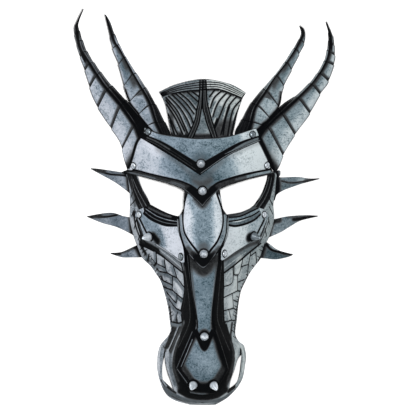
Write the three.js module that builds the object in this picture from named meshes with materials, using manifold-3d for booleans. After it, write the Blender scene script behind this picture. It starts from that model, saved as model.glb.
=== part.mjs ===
import * as THREE from "three";
import { mergeVertices } from "three/addons/utils/BufferGeometryUtils.js";
import Module from "manifold-3d";

const wasm = await Module();
wasm.setup();

// A dragon mask of wet-formed leather, lying on its back: +Z out of the face, +Y towards the horns.
// Outlines are set out on a front drawing with a square grid, x to the right and y down.
const pitch = 1.1; // millimetres to one step of the drawing's grid
const gridCentre = [205, 207.1]; // grid point that lies over the origin
const ridgeLine = 203; // grid x of the mask's middle line
const leather = 3; // thickness of the shell, horns, fan and frills
const plateLeather = 2.8; // thickness of the riveted plates
const gap = 0.35; // clearance between pieces that lie on each other
const frillTop = 3; // the side frills lie flat under the rim
const rimOverFrill = frillTop + gap;
const domePower = 2.3; // roundness of a cross-section, 2 is a parabola
const facet = 9; // length of a facet along a smooth edge
const tallest = 120; // higher than anything on the mask

const X = (gx) => (gx - gridCentre[0]) * pitch;
const Y = (gy) => (gridCentre[1] - gy) * pitch;
const gridY = (y) => gridCentre[1] - y / pitch;
const mix = (a, b, t) => a + (b - a) * t;
const smooth = (a, b, t) => THREE.MathUtils.smoothstep(t, a, b);

// A curve through stations [t, value] that never overshoots them
function through(stations) {
  const rise = stations.slice(1).map(([t, v], i) => (v - stations[i][1]) / (t - stations[i][0]));
  const slope = stations.map((_, i) => {
    const before = rise[Math.max(i - 1, 0)];
    const after = rise[Math.min(i, rise.length - 1)];
    return before * after <= 0 ? 0 : (2 * before * after) / (before + after);
  });
  return (t) => {
    let i = 0;
    while (i < stations.length - 2 && t > stations[i + 1][0]) i++;
    const [t0, v0] = stations[i];
    const [t1, v1] = stations[i + 1];
    const span = t1 - t0;
    const s = THREE.MathUtils.clamp((t - t0) / span, 0, 1);
    const bend = (1 - s) * (1 - s) * s * span * slope[i] - s * s * (1 - s) * span * slope[i + 1];
    return v0 + (v1 - v0) * s * s * (3 - 2 * s) + bend;
  };
}

// Rim of the face: [grid y, grid x of the left edge, grid x of the right edge]
const rim = [
  [70, 118, 288], [125, 116, 289], [150, 117, 287], [166, 121, 281.5], [172, 123, 278.5],
  [178, 127.5, 276.3], [193, 129.6, 275], [205, 129.9, 273.4], [216, 129.6, 274.2], [236, 133.6, 269.4],
  [246, 137.2, 264.6], [257.6, 142.3, 261], [266, 150.6, 254.8], [273.6, 155.8, 249.5],
  [281, 160.6, 245.6], [292.6, 164.4, 240.6], [307.5, 167.9, 238.1], [320, 169.6, 236.9],
  [329, 170.6, 235.6], [334, 169.2, 235.3], [341, 163.5, 238.6], [346, 159.8, 244.2],
  [357, 157.4, 246], [366, 157.1, 245], [376, 158.5, 243.3], [386, 161.6, 238.4],
  [393, 165.3, 232.4], [398, 170.3, 227], [402, 179, 220.5], [404.4, 189, 216], [405.4, 191, 214],
];
// Height of the middle line over the ground: [grid y, millimetres]
const crown = [
  [70, 30], [100, 39], [125, 45], [150, 49], [165, 50.5], [178, 53], [190, 57.5], [202, 62],
  [215, 65.5], [235, 68], [255, 68], [275, 67], [300, 64], [325, 60], [345, 57], [365, 52.5],
  [380, 46], [390, 38.5], [397, 29], [401, 20], [404, 8], [405.4, -3],
];
// The nose stands proud of the cheeks: [grid y, share of the height, half width in grid steps]
const nose = [
  [175, 0, 16], [215, 0.16, 22], [257, 0.2, 22], [285, 0.2, 17.5], [320, 0.18, 16],
  [345, 0.14, 22], [368, 0.1, 30], [404, 0, 30],
];
const rimLeft = through(rim.map(([y, left]) => [y, left]));
const rimRight = through(rim.map(([y, , right]) => [y, right]));
const crownHeight = through(crown);
const noseShare = through(nose.map(([y, share]) => [y, share]));
const noseHalf = through(nose.map(([y, , half]) => [y, half]));
const rimHeight = (gy) => rimOverFrill * (1 - smooth(262, 268, gy));

// Height of the shell's outer surface
function shellZ(x, y) {
  const gy = gridY(y);
  const gx = x / pitch + gridCentre[0];
  const edge = gx < ridgeLine ? rimLeft(gy) : rimRight(gy);
  const u = Math.abs((gx - ridgeLine) / (edge - ridgeLine));
  const low = rimHeight(gy);
  const ridge = (1 - u ** 8) / (1 + Math.abs((gx - ridgeLine) / noseHalf(gy)) ** 6);
  return low + (crownHeight(gy) - low) * mix(1 - u ** domePower, ridge, noseShare(gy));
}

function shellNormal(x, y) {
  const step = 0.25;
  return new THREE.Vector3(
    (shellZ(x - step, y) - shellZ(x + step, y)) / (2 * step),
    (shellZ(x, y - step) - shellZ(x, y + step)) / (2 * step),
    1
  ).normalize();
}

// Point at a distance over (or, if negative, under) the shell's outer surface. What lies over it is
// lifted straight up, so that plates keep their outlines of the drawing on the sloping sides.
function overShell(x, y, distance) {
  const point = new THREE.Vector3(x, y, shellZ(x, y));
  const normal = shellNormal(x, y);
  if (distance > 0) return point.setZ(point.z + distance / Math.max(normal.z, 0.3));
  return point.addScaledVector(normal, distance);
}

// Solids are joined and cut as manifolds, and turned back into geometry at the end
function solid(geometry) {
  geometry.deleteAttribute("normal");
  geometry.deleteAttribute("uv");
  const merged = mergeVertices(geometry, 1e-4);
  const triangles = [];
  for (let i = 0; i < merged.index.count; i += 3) {
    const corners = [0, 1, 2].map((k) => merged.index.getX(i + k));
    if (new Set(corners).size === 3) triangles.push(...corners);
  }
  return new wasm.Manifold(new wasm.Mesh({
    numProp: 3,
    vertProperties: Float32Array.from(merged.attributes.position.array),
    triVerts: Uint32Array.from(triangles),
  }));
}

// The largest body, without the slivers that a cut leaves beside it
const mainBody = (manifold) => manifold.decompose().sort((a, b) => b.volume() - a.volume())[0];

function geometryOf(manifold) {
  const mesh = manifold.getMesh();
  const geometry = new THREE.BufferGeometry();
  geometry.setAttribute("position", new THREE.BufferAttribute(mesh.vertProperties, 3));
  geometry.setIndex(new THREE.BufferAttribute(mesh.triVerts, 1));
  return geometry;
}

// Closed body between two sheets of points, rows by columns, top(i, j) over bottom(i, j)
function sheetBody(rows, columns, top, bottom) {
  const points = [];
  for (const side of [top, bottom]) {
    for (let i = 0; i <= rows; i++) {
      for (let j = 0; j <= columns; j++) points.push(...side(i, j).toArray());
    }
  }
  const width = columns + 1;
  const under = (rows + 1) * width;
  const index = [];
  const quad = (a, b, c, d) => index.push(a, b, c, a, c, d);
  for (let i = 0; i < rows; i++) {
    for (let j = 0; j < columns; j++) {
      const a = i * width + j;
      quad(a, a + 1, a + width + 1, a + width);
      quad(under + a, under + a + width, under + a + width + 1, under + a + 1);
    }
  }
  for (let j = 0; j < columns; j++) {
    const last = rows * width + j;
    quad(j + 1, j, under + j, under + j + 1);
    quad(last, last + 1, under + last + 1, under + last);
  }
  for (let i = 0; i < rows; i++) {
    const a = i * width;
    const b = a + columns;
    quad(a, a + width, under + a + width, under + a);
    quad(b + width, b, under + b, under + b + width);
  }
  const geometry = new THREE.BufferGeometry();
  geometry.setAttribute("position", new THREE.Float32BufferAttribute(points, 3));
  geometry.setIndex(index);
  return solid(geometry);
}

// Facetted run of an edge: a smooth curve through its points
function run(points) {
  const curve = new THREE.SplineCurve(points.map(([gx, gy]) => new THREE.Vector2(X(gx), Y(gy))));
  const steps = points.length === 2 ? 1 : Math.max(2, Math.ceil(curve.getLength() / facet));
  return curve.getSpacedPoints(steps).slice(0, -1);
}

// Outline made of runs, each one starting at a corner where the run before it ends
const outline = (corners) => corners.flatMap((points, i) => {
  const next = corners[(i + 1) % corners.length][0];
  return run([...points, next]);
});

// Outline moved outwards by a distance
function grown(points, distance) {
  const turn = THREE.ShapeUtils.isClockWise(points) ? -1 : 1;
  return points.map((point, i) => {
    const before = points[(i + points.length - 1) % points.length];
    const after = points[(i + 1) % points.length];
    const along = after.clone().sub(before).normalize();
    return new THREE.Vector2(point.x + turn * along.y * distance, point.y - turn * along.x * distance);
  });
}

function prism(points, low = -tallest, high = tallest) {
  const geometry = new THREE.ExtrudeGeometry(new THREE.Shape(points), {
    depth: high - low, bevelEnabled: false,
  });
  geometry.translate(0, 0, low);
  return solid(geometry);
}

// The face's facets: shares of the way from the middle line to the rim, and rows of the drawing.
// Every layer of leather uses the same facets, so that layers nest with an even gap.
const across = [0, 0.2, 0.36, 0.52, 0.68, 0.84, 1, 1.08];
const along = [
  405.4, 404.4, 402.5, 399, 394, 387, 378, 367, 356, 347, 340, 332, 322, 310, 295, 280, 268,
  262, 253, 242, 229, 216, 204, 192, 180, 170, 160, 148, 136, 124, 111, 98, 84, 70,
];
function domeBody(bottom, top) {
  const columns = 2 * (across.length - 1);
  const sheet = (distance) => (i, j) => {
    const side = j - (across.length - 1);
    const edge = side < 0 ? rimLeft(along[i]) : rimRight(along[i]);
    const x = X(mix(ridgeLine, edge, across[Math.abs(side)]));
    return overShell(x, Y(along[i]), distance(x, Y(along[i])));
  };
  return sheetBody(along.length - 1, columns, sheet(top), sheet(bottom));
}

// Layer of leather that follows the shell between two distances, inside an outline
const layer = (points, bottom, top) => domeBody(bottom, top).intersect(prism(points));
const plate = (points, bottom) => layer(points, bottom, (x, y) => bottom(x, y) + plateLeather);
const thickness = plateLeather + gap;

// Brow plates: the lower one runs up under the upper one and lifts over the head of the nose bridge
const browLowerOutline = outline([
  [[141, 136.9], [136.8, 143.6], [132.5, 158.3], [129, 168]],
  [[124, 171.5]],
  [[127.6, 173.2], [155.2, 180.1], [169.5, 184.1], [182.7, 189.3], [195.4, 200.2]],
  [[202.4, 207.5], [208.6, 200.2], [221.2, 188.7], [245.9, 180.1]],
  [[268.3, 174.9]],
  [[272.3, 170.9], [269.5, 162.2], [263.3, 148.8]],
  [[258.6, 139]],
  [[253, 131.5], [229, 138.2], [203.6, 140.4], [187.5, 139.8], [160.5, 136]],
  [[147, 130.2]],
]);
const browUpperOutline = outline([
  [[144.8, 127.1], [160.5, 133.7], [187.5, 137.6], [203.6, 138.3], [229, 136], [249.5, 130.3]],
  [[255.6, 127.7], [258, 133.5]],
  [[260.8, 141.1], [244.1, 148.3], [225, 157.9]],
  [[200.1, 175.4], [177.6, 160.6], [157.3, 148]],
  [[138.6, 136.9]],
]);
const browLift = (x, y) => thickness * smooth(170, 180, gridY(y))
  * (1 - smooth(28 * pitch, 38 * pitch, Math.abs(x - X(ridgeLine))));
const browLowerBottom = (x, y) => gap + browLift(x, y);
const browUpperBottom = (x, y) => browLowerBottom(x, y) + thickness;
const browLower = plate(browLowerOutline, browLowerBottom);
const browUpper = plate(browUpperOutline, browUpperBottom);

// Three plates down the middle, the point of each one lying over the head of the next
const bridgeOutline = outline([
  [[184.7, 191], [183.9, 200.2], [183.3, 208.8]],
  [[178.4, 217.4], [179.9, 231.7], [185.1, 248.4], [192, 258.7]],
  [[203.5, 269.3], [216.8, 254.1], [222.6, 244.3], [226.6, 232.9]],
  [[227.5, 217.4], [223, 208.8], [221.2, 200.2]],
  [[219.9, 190.2]],
  [[217.5, 187]],
  [[187, 187]],
]);
const bridgePanel = outline([
  [[186.7, 194.4], [184.5, 203], [182.9, 218], [184, 230], [187.4, 238], [193.1, 246.1]],
  [[203.5, 259], [211.6, 248.9], [218, 239.8], [222.6, 226], [222.4, 211.7]],
  [[216.8, 193.3]],
]);
const snoutOutline = outline([
  [[186.2, 248.9], [189.7, 277.6], [194.9, 310.4], [196, 320]],
  [[193, 332]],
  [[204.5, 349.3]],
  [[214.3, 332.8]],
  [[211.6, 320], [212.2, 307.5], [215.7, 278.8]],
  [[219.6, 248.9]],
]);
const snoutPanel = outline([
  [[189.5, 252], [193.4, 290], [198.3, 320]],
  [[197.5, 329.5]],
  [[204.4, 342]],
  [[211, 329.5]],
  [[209.6, 320], [211.4, 290]],
  [[215.8, 252]],
]);
const tipOutline = outline([
  [[193.5, 326.7]],
  [[175.4, 368.3]],
  [[186.2, 383.7]],
  [[190.2, 392.6], [202, 394.2]],
  [[214.3, 393.2]],
  [[229, 368.9]],
  [[215.6, 325.4]],
]);
const bridgeBottom = (x, y) => gap + thickness * smooth(230, 241, gridY(y));
const snoutBottom = (x, y) => gap + thickness * smooth(311, 321, gridY(y));
const panelRise = 0.8; // the middle of a plate stands proud of its tooled border
const bossed = (points, panel, bottom) => layer(points, bottom, (x, y) => bottom(x, y) + plateLeather)
  .add(layer(panel, (x, y) => bottom(x, y) + 1, (x, y) => bottom(x, y) + plateLeather + panelRise));
const bridge = bossed(bridgeOutline, bridgePanel, bridgeBottom)
  .subtract(layer(grown(browLowerOutline, gap), (x, y) => browLowerBottom(x, y) - gap, () => 9));
const snout = bossed(snoutOutline, snoutPanel, snoutBottom)
  .subtract(layer(grown(bridgeOutline, gap), (x, y) => bridgeBottom(x, y) - gap, () => 9));
const tip = plate(tipOutline, () => gap);

// Cheek plates, one under each eye, with their inner edges along the nose bridge
const cheekLeftOutline = outline([
  [[137.5, 221], [135.3, 215.5], [137.5, 210.6]],
  [[145.8, 206.6]],
  [[148.6, 205.2], [160.6, 211], [169.3, 214.9]],
  [[177.2, 217.6], [178.4, 231], [183.4, 248]],
  [[184.6, 262], [181.7, 262.7]],
  [[177.6, 258.1], [162.1, 247.2], [153, 242.1]],
  [[146.5, 240.5], [143.8, 236.5]],
]);
const cheekRightOutline = outline([
  [[266.3, 221], [268.4, 215.5], [266.3, 210.4]],
  [[258.4, 207.4]],
  [[254, 206.3], [240.6, 213.2]],
  [[228.6, 216.6], [228, 232.9], [224, 244.8], [221.4, 250]],
  [[220.8, 259.6], [223.7, 259.8]],
  [[235.2, 251.8], [251.5, 241.8]],
  [[256.2, 240.2], [259.3, 236.5]],
]);
const cheekHidden = layer(grown(bridgeOutline, gap), () => -1, () => 9)
  .add(layer(grown(snoutOutline, gap), () => -1, () => 9));
const cheekLeft = plate(cheekLeftOutline, () => gap).subtract(cheekHidden);
const cheekRight = plate(cheekRightOutline, () => gap).subtract(cheekHidden);

// Shell: domed sheet cut level at the rim, with its forehead trimmed inside the brow plates
const shellTop = outline([
  [[126.4, 173.6], [131.5, 168], [135, 158], [139, 146]],
  [[144, 136.5]],
  [[150, 132.6], [160.5, 136.6], [187.5, 140.5], [203.6, 141.2], [229, 139]],
  [[251.5, 132.8]],
  [[256.5, 139], [261, 149.5], [266.5, 161]],
  [[269.6, 170.2]],
  [[276.8, 173.5]],
  [[300, 300]],
  [[240, 430]],
  [[160, 430]],
  [[100, 300]],
]);
const eyeLeft = outline([
  [[137.6, 174.8], [162.6, 180.4], [176, 184.8]],
  [[185.4, 189.5], [185, 200], [183.4, 210]],
  [[180.4, 215.6]],
  [[177.3, 216], [169.5, 213.7], [160.9, 209.9]],
  [[150.6, 204.5]],
  [[147.1, 196.7], [142, 187.6]],
]);
const eyeRight = outline([
  [[267.2, 174.8], [245.9, 179], [231.6, 183]],
  [[219.4, 188], [220.2, 198], [222, 207]],
  [[226.6, 214.3]],
  [[228.6, 214.2], [240.2, 212.2]],
  [[248.8, 208.8], [253.4, 205.3]],
  [[258, 199], [262, 192.1], [266, 181.2]],
]);
const nostrilLeft = outline([
  [[164.7, 355.5], [162.5, 365], [162.2, 375]],
  [[163, 380]],
  [[173.5, 389.5], [170.5, 380.2], [167.9, 373], [165.6, 364]],
]);
const nostrilRight = outline([
  [[241.5, 354.5], [240.4, 363.6], [239.1, 373.6], [236.4, 382.3]],
  [[229.4, 388.2], [230.4, 380.3], [234.4, 368.9], [237.9, 358.2]],
]);

function shell() {
  const wide = 220;
  const halfPlane = (low, high, y0, y1) => prism(
    [[-wide, y0], [wide, y0], [wide, y1], [-wide, y1]].map(([x, y]) => new THREE.Vector2(x, y)), low, high
  );
  return mainBody(domeBody(() => -leather, () => 0)
    .subtract(halfPlane(-tallest, 0, -2 * wide, 2 * wide))
    .subtract(halfPlane(-tallest, rimOverFrill, Y(262.5), 2 * wide))
    .intersect(prism(shellTop))
    .subtract(prism(eyeLeft))
    .subtract(prism(eyeRight))
    .subtract(prism(nostrilLeft))
    .subtract(prism(nostrilRight)));
}
const base = shell();

// What lies on the shell's edge, which the horns tuck under
const tuck = leather + gap;
const covered = [browLowerOutline, browUpperOutline, shellTop]
  .map((points) => layer(grown(points, gap), () => -tuck, () => 15))
  .reduce((all, one) => all.add(one));

// Fan between the horns: a sheet that carries on the curve of the forehead, with raised ribs
const fanOutline = outline([
  [[171.6, 136], [169.4, 123.6], [165.7, 105.5], [161.6, 96.2]],
  [[159, 92.4], [176.8, 84.4], [203.6, 79.3], [230.4, 84.4]],
  [[245.8, 93.1]],
  [[242.4, 98.6], [238.1, 111.5], [234.4, 127.6]],
  [[232.4, 137]],
  [[230, 146], [203, 150]],
  [[174, 146]],
]);
const fanRibs = [
  [
    [[159, 92.4], [176.8, 84.4], [203.6, 79.3], [230.4, 84.4]],
    [[245.8, 93.1]],
    [[242.4, 98.6], [227, 92.2], [208.9, 89.2], [190.2, 90.8]],
    [[161.6, 96.2]],
  ],
  [
    [[199.6, 80.5]],
    [[203.4, 80.5], [202.9, 100], [198.9, 122.9], [192.2, 139]],
    [[187, 139], [195.5, 118], [199.2, 100]],
  ],
  [
    [[202.6, 80.5]],
    [[206, 80.5], [206.6, 100], [211.6, 120], [218, 139]],
    [[212.8, 139], [206.9, 123.6], [203.2, 100]],
  ],
].map(outline);
const fanTop = () => -tuck;
const fanRise = 1.3;
const fanBody = fanRibs.reduce(
  (body, points) => body.add(layer(points, () => -tuck - 1, () => fanRise - tuck)),
  layer(fanOutline, () => -tuck - leather, fanTop)
);
const fan = mainBody(fanBody.subtract(covered));

// Horn: one sheet folded along a ridge, its bands stepping down towards the tip.
// The edges run from the root, tucked under the brow, to the tip; heights are [share of length, mm].
const bandNotch = 0.9;
const lowestHorn = rimOverFrill + gap + leather;
function hornSheet({ left, ridge, right, heights, bands }, room) {
  const edges = [left, ridge, right].map(
    (points) => new THREE.SplineCurve(points.map(([gx, gy]) => new THREE.Vector2(X(gx), Y(gy))))
  );
  const height = heights.map(through);
  const step = 0.012;
  const stops = [0, 0.06, ...bands.flatMap((band) => [band - step, band, band + step]), 0.95, 1];
  const surface = (i, j) => {
    const t = stops[i];
    const notch = bands.includes(t) ? bandNotch : 0;
    const at = edges[j].getPointAt(t);
    const towards = edges[1].getPointAt(t).sub(at);
    if (j !== 1) at.addScaledVector(towards, (notch - room) / (towards.length() + 2));
    const tucked = Math.max(shellZ(at.x, at.y) - tuck / shellNormal(at.x, at.y).z - 0.2, lowestHorn);
    return new THREE.Vector3(at.x, at.y, mix(tucked, height[j](t) - notch, smooth(0.05, 0.2, t)));
  };
  const raised = (i, j, rise) => surface(i, j).add(new THREE.Vector3(0, 0, rise));
  const thick = (i) => mix(leather, 1.4, stops[i] ** 3) + room;
  return sheetBody(
    stops.length - 1, 2, (i, j) => raised(i, j, room * 20), (i, j) => raised(i, j, -thick(i))
  );
}
const horn = (shape) => mainBody(hornSheet(shape, 0).subtract(covered));
const outerHeights = {
  outer: [[0.1, 9], [0.4, 14], [0.7, 18], [1, 22]],
  ridge: [[0.1, 21], [0.4, 27], [0.7, 27], [1, 23]],
  inner: [[0.1, 18], [0.4, 18], [0.7, 20], [1, 22]],
};
const innerHeights = {
  outer: [[0.1, 28], [0.4, 31], [0.7, 32], [1, 33]],
  ridge: [[0.1, 36], [0.4, 40], [0.7, 39], [1, 34]],
  inner: [[0.1, 34], [0.4, 33], [0.7, 33], [1, 33]],
};
const outerLeft = {
  left: [[127, 168], [124.3, 160], [118.9, 141.3], [104.8, 120], [93.2, 99.1], [84.7, 71.4],
    [77.7, 49.8], [73.8, 30.6], [76.5, 22], [83, 9.3]],
  ridge: [[144, 146], [138.6, 136.9], [133.7, 124.8], [119.1, 103.6], [103.5, 84.8], [90.1, 64.3],
    [80, 47.8], [77, 30], [77.6, 22], [83.4, 9]],
  right: [[155, 134], [149.3, 127.1], [139, 113.2], [126.3, 99.6], [112.4, 85.3], [101.3, 71.9],
    [87.9, 51.8], [79.8, 29.9], [79.4, 22], [83.9, 9.6]],
  heights: [outerHeights.outer, outerHeights.ridge, outerHeights.inner],
  bands: [0.15, 0.28, 0.41, 0.52, 0.61, 0.69, 0.76, 0.83],
};
const innerLeft = {
  left: [[157, 134.5], [150.6, 126.3], [146.6, 122.3], [138.6, 112.6], [130.6, 101], [124.2, 87], [118.2, 65.6],
    [112.5, 49.8], [107.1, 25.3], [105, 15.4]],
  ridge: [[163, 139], [159.1, 129.3], [155.5, 120.8], [148.4, 100.3], [133.4, 74.1], [120.4, 50],
    [114.4, 41.3], [108.6, 24], [105.6, 14.9]],
  right: [[170.4, 141], [170.8, 133.8], [161.8, 115], [147.9, 90], [127.1, 58.5], [115.9, 35.6],
    [111, 23], [106.4, 15.4]],
  heights: [innerHeights.outer, innerHeights.ridge, innerHeights.inner],
  bands: [0.26, 0.37, 0.51, 0.62, 0.71, 0.79, 0.87],
};
const outerRight = {
  left: [[248, 137], [256.6, 128.7], [279.7, 105.9], [295.2, 95.6], [308.4, 83.5], [317, 72.6],
    [323.9, 60], [327.2, 45], [327.6, 33], [325.3, 22.6]],
  ridge: [[257, 145], [261.9, 134], [269.3, 125.4], [283.7, 111.7], [303.8, 92.1], [316.4, 77.8],
    [326.7, 60], [329.8, 44.4], [329, 33], [325.9, 21.9]],
  right: [[275, 174], [279.5, 166], [284.8, 153.1], [294.9, 135.8], [309.8, 114.5], [319.9, 95.6],
    [328.5, 82.4], [334.6, 63], [334.6, 48], [332.8, 36], [326.5, 22.2]],
  heights: [outerHeights.inner, outerHeights.ridge, outerHeights.outer],
  bands: [0.17, 0.28, 0.42, 0.55, 0.64, 0.72, 0.8, 0.87],
};
const innerRight = {
  left: [[237, 140], [234.6, 133], [240, 122], [247, 109], [255, 97.3], [273.4, 76.6], [283.7, 62.9],
    [296.5, 42.9], [300.4, 33.7], [299, 26.4]],
  ridge: [[247, 138], [251, 125], [255, 108], [265.3, 92.1], [275.1, 76.6], [288.8, 59], [301, 39],
    [302.3, 31], [299.5, 25.9]],
  right: [[250, 139], [256.6, 129], [268, 118.5], [279, 105.6], [283.1, 89.8], [291.7, 70.9],
    [299.5, 54.8], [305, 42], [304.6, 31], [300.1, 26.3]],
  heights: [innerHeights.inner, innerHeights.ridge, innerHeights.outer],
  bands: [0.24, 0.38, 0.54, 0.67, 0.8, 0.885],
};
const hornInnerLeft = horn(innerLeft);
const hornInnerRight = horn(innerRight);
const hornOuterLeft = mainBody(horn(outerLeft).subtract(hornSheet(innerLeft, gap)));
const hornOuterRight = mainBody(horn(outerRight).subtract(hornSheet(innerRight, gap)));

// Side frills: a flat strip under the rim on each side, cut into three spikes that are creased
// along a ridge. Each spike's edges run from the strip to the tip, in order round the crease.
const creaseRise = through([[0, 0], [0.22, 0], [0.5, 4.5], [1, 1.2]]);
function spike(edges) {
  const curves = edges.map(
    (points) => new THREE.SplineCurve(points.map(([gx, gy]) => new THREE.Vector2(X(gx), Y(gy))))
  );
  const stops = [0, 0.22, 0.36, 0.52, 0.7, 0.86, 1];
  const thick = (t) => mix(frillTop, 1.2, t ** 2);
  const point = (t, j, z) => {
    const at = curves[j].getPointAt(t);
    return new THREE.Vector3(at.x, at.y, z + (j === 1 ? creaseRise(t) : 0));
  };
  return sheetBody(
    stops.length - 1, 2, (i, j) => point(stops[i], j, thick(stops[i])), (i, j) => point(stops[i], j, 0)
  );
}
const frill = (strip, spikes) => mainBody(
  spikes.map(spike).reduce((all, one) => all.add(one), prism(outline(strip), 0, frillTop))
);
const frillLeft = frill([
  [[125, 170.5], [122.9, 176], [124.4, 182.5]],
  [[128.5, 190]],
  [[131.6, 196], [131.8, 216], [135.8, 237], [139.4, 246]],
  [[144.5, 257]],
  [[151.5, 253], [141.5, 222], [138.5, 205], [138, 190], [136.5, 178]],
  [[133, 171.5]],
], [
  [
    [[134, 194.5], [129.6, 193.5], [121.5, 186.8], [113.5, 181.4], [100.1, 174.1], [90.9, 169.2]],
    [[134, 178], [121.5, 174.6], [110.1, 173.7], [91, 168.7]],
    [[131, 172], [121.5, 172.2], [102.1, 169.2], [91.4, 168.2]],
  ],
  [
    [[139, 237], [133.6, 235.7], [117.5, 227.3], [102.1, 222.9], [87.8, 217.2]],
    [[137, 219], [122.9, 218], [116.2, 214.8], [103.4, 216.3], [87.4, 216.6]],
    [[136, 216.6], [122.9, 216], [113.5, 212.9], [103.4, 213.2], [87.8, 216.1]],
  ],
  [
    [[147, 256.6], [140.3, 257.4], [130.9, 257.4], [121.5, 257.1], [110.9, 253.9]],
    [[144, 248], [136.9, 247], [122.9, 253.3], [110.5, 253.4]],
    [[141, 243], [136.9, 245], [123.5, 251.2], [117.5, 252.5], [110.8, 252.9]],
  ],
]);
const frillRight = frill([
  [[271, 171.5]],
  [[267.5, 178], [265.5, 190], [264.5, 205], [261.8, 222]],
  [[251, 253]],
  [[258.5, 257.5]],
  [[262.5, 246], [267, 238], [271.6, 217], [271.6, 203]],
  [[275.2, 199.6], [278.5, 188], [280.4, 176]],
  [[279.6, 170.5]],
], [
  [
    [[272, 179], [280.3, 177.3], [296.9, 176.8], [309.6, 178.4], [318.5, 178.2]],
    [[272, 182], [280.3, 179.5], [292.4, 182.2], [318.9, 178.7]],
    [[269, 196.5], [277.1, 194], [284.1, 189.9], [300.7, 184.1], [318.5, 179.3]],
  ],
  [
    [[269, 219.6], [274.6, 219], [287.3, 216.3], [304.5, 215.1], [317.3, 215.5]],
    [[268, 223], [276, 221.5], [290, 218.5], [317.6, 216]],
    [[263, 238.4], [268.8, 237.4], [280.9, 232], [290.5, 226.2], [300.7, 220.6], [317.3, 216.6]],
  ],
  [
    [[262, 241.5], [268.8, 243.4], [277.8, 249.8], [288.6, 253.1], [292.5, 253.8]],
    [[258, 244], [265, 245.6], [273.3, 251.3], [292.7, 254.3]],
    [[258, 257], [265, 258.4], [276.5, 259.3], [288.6, 256.8], [292.5, 254.9]],
  ],
]);

// Metal: flat-headed rivets and cone studs, turned parts that stand on the leather.
// A profile is [radius, height] from the middle of the seat to the crown.
const rivetProfile = [[0, 0], [3.3, 0], [3.2, 0.7], [2, 1.5], [0, 1.8]];
const studProfile = [[0, 0], [4.6, 0], [4.5, 1.4], [3.1, 6], [1.5, 9.6], [0, 11]];
const sides = 10;
function turned(profile, gx, gy, seat) {
  const lathe = new THREE.LatheGeometry(profile.map(([r, z]) => new THREE.Vector2(r, z)), sides);
  const normal = shellNormal(X(gx), Y(gy));
  lathe.applyQuaternion(new THREE.Quaternion().setFromUnitVectors(new THREE.Vector3(0, 1, 0), normal));
  lathe.translate(...overShell(X(gx), Y(gy), seat(X(gx), Y(gy)) + plateLeather + gap).toArray());
  return solid(lathe);
}
const flat = () => gap;
const bossSeat = (bottom) => (x, y) => bottom(x, y) + panelRise;
const rivets = {
  brow_upper_left: [148.2, 132, browUpperBottom],
  brow_upper_right: [252.5, 134.6, browUpperBottom],
  brow_lower_left: [133.6, 165.9, browLowerBottom],
  brow_lower_right: [267, 165.3, browLowerBottom],
  cheek_outer_left: [139.2, 214.6, flat],
  cheek_outer_right: [264.2, 214.6, flat],
  cheek_inner_left: [180.9, 256.6, flat],
  cheek_inner_right: [224.6, 253.5, flat],
};
const studs = {
  brow_upper: [201, 164, browUpperBottom],
  brow_lower: [202.5, 191.5, browLowerBottom],
  nose_bridge: [203.8, 253.7, bossSeat(bridgeBottom)],
  snout: [204.4, 336.2, bossSeat(snoutBottom)],
  nose_left: [193.6, 384, flat],
  nose_right: [213.3, 384.2, flat],
  cheek_left: [149.6, 236.6, flat],
  cheek_right: [253.2, 236.2, flat],
};

const pieces = [];
const addPiece = (name, body, colour, roughness = 0.5, metalness = 0) => {
  const material = new THREE.MeshStandardMaterial({ color: colour, roughness, metalness });
  const mesh = new THREE.Mesh(geometryOf(body), material);
  mesh.name = name;
  pieces.push(mesh);
};
const palePaint = 0xa9b7c2;
addPiece("mask_base", base, 0x76828c);
addPiece("brow_plate_lower", browLower, palePaint);
addPiece("brow_plate_upper", browUpper, 0x8f9fab);
addPiece("nose_bridge_plate", bridge, palePaint);
addPiece("snout_plate", snout, 0x8c99a3);
addPiece("nose_tip_plate", tip, 0x8c99a3);
addPiece("cheek_plate_left", cheekLeft, palePaint);
addPiece("cheek_plate_right", cheekRight, palePaint);

addPiece("crest_fan", fan, 0x5f676c);
addPiece("horn_outer_left", hornOuterLeft, 0x8f9fab);
addPiece("horn_inner_left", hornInnerLeft, 0x8f9fab);
addPiece("horn_outer_right", hornOuterRight, 0x8f9fab);
addPiece("horn_inner_right", hornInnerRight, 0x8f9fab);
addPiece("side_frill_left", frillLeft, 0x4a5359);
addPiece("side_frill_right", frillRight, 0x4a5359);
for (const [name, place] of Object.entries(rivets)) {
  addPiece("rivet_" + name, turned(rivetProfile, ...place), 0xc8d0da, 0.4, 0.6);
}
for (const [name, place] of Object.entries(studs)) {
  addPiece("stud_" + name, turned(studProfile, ...place), 0xc8d0da, 0.4, 0.6);
}

const mask = new THREE.Group();
mask.add(...pieces);
export default mask;
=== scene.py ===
import math
import bpy
import numpy as np
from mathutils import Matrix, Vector
from mathutils.geometry import delaunay_2d_cdt


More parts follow.
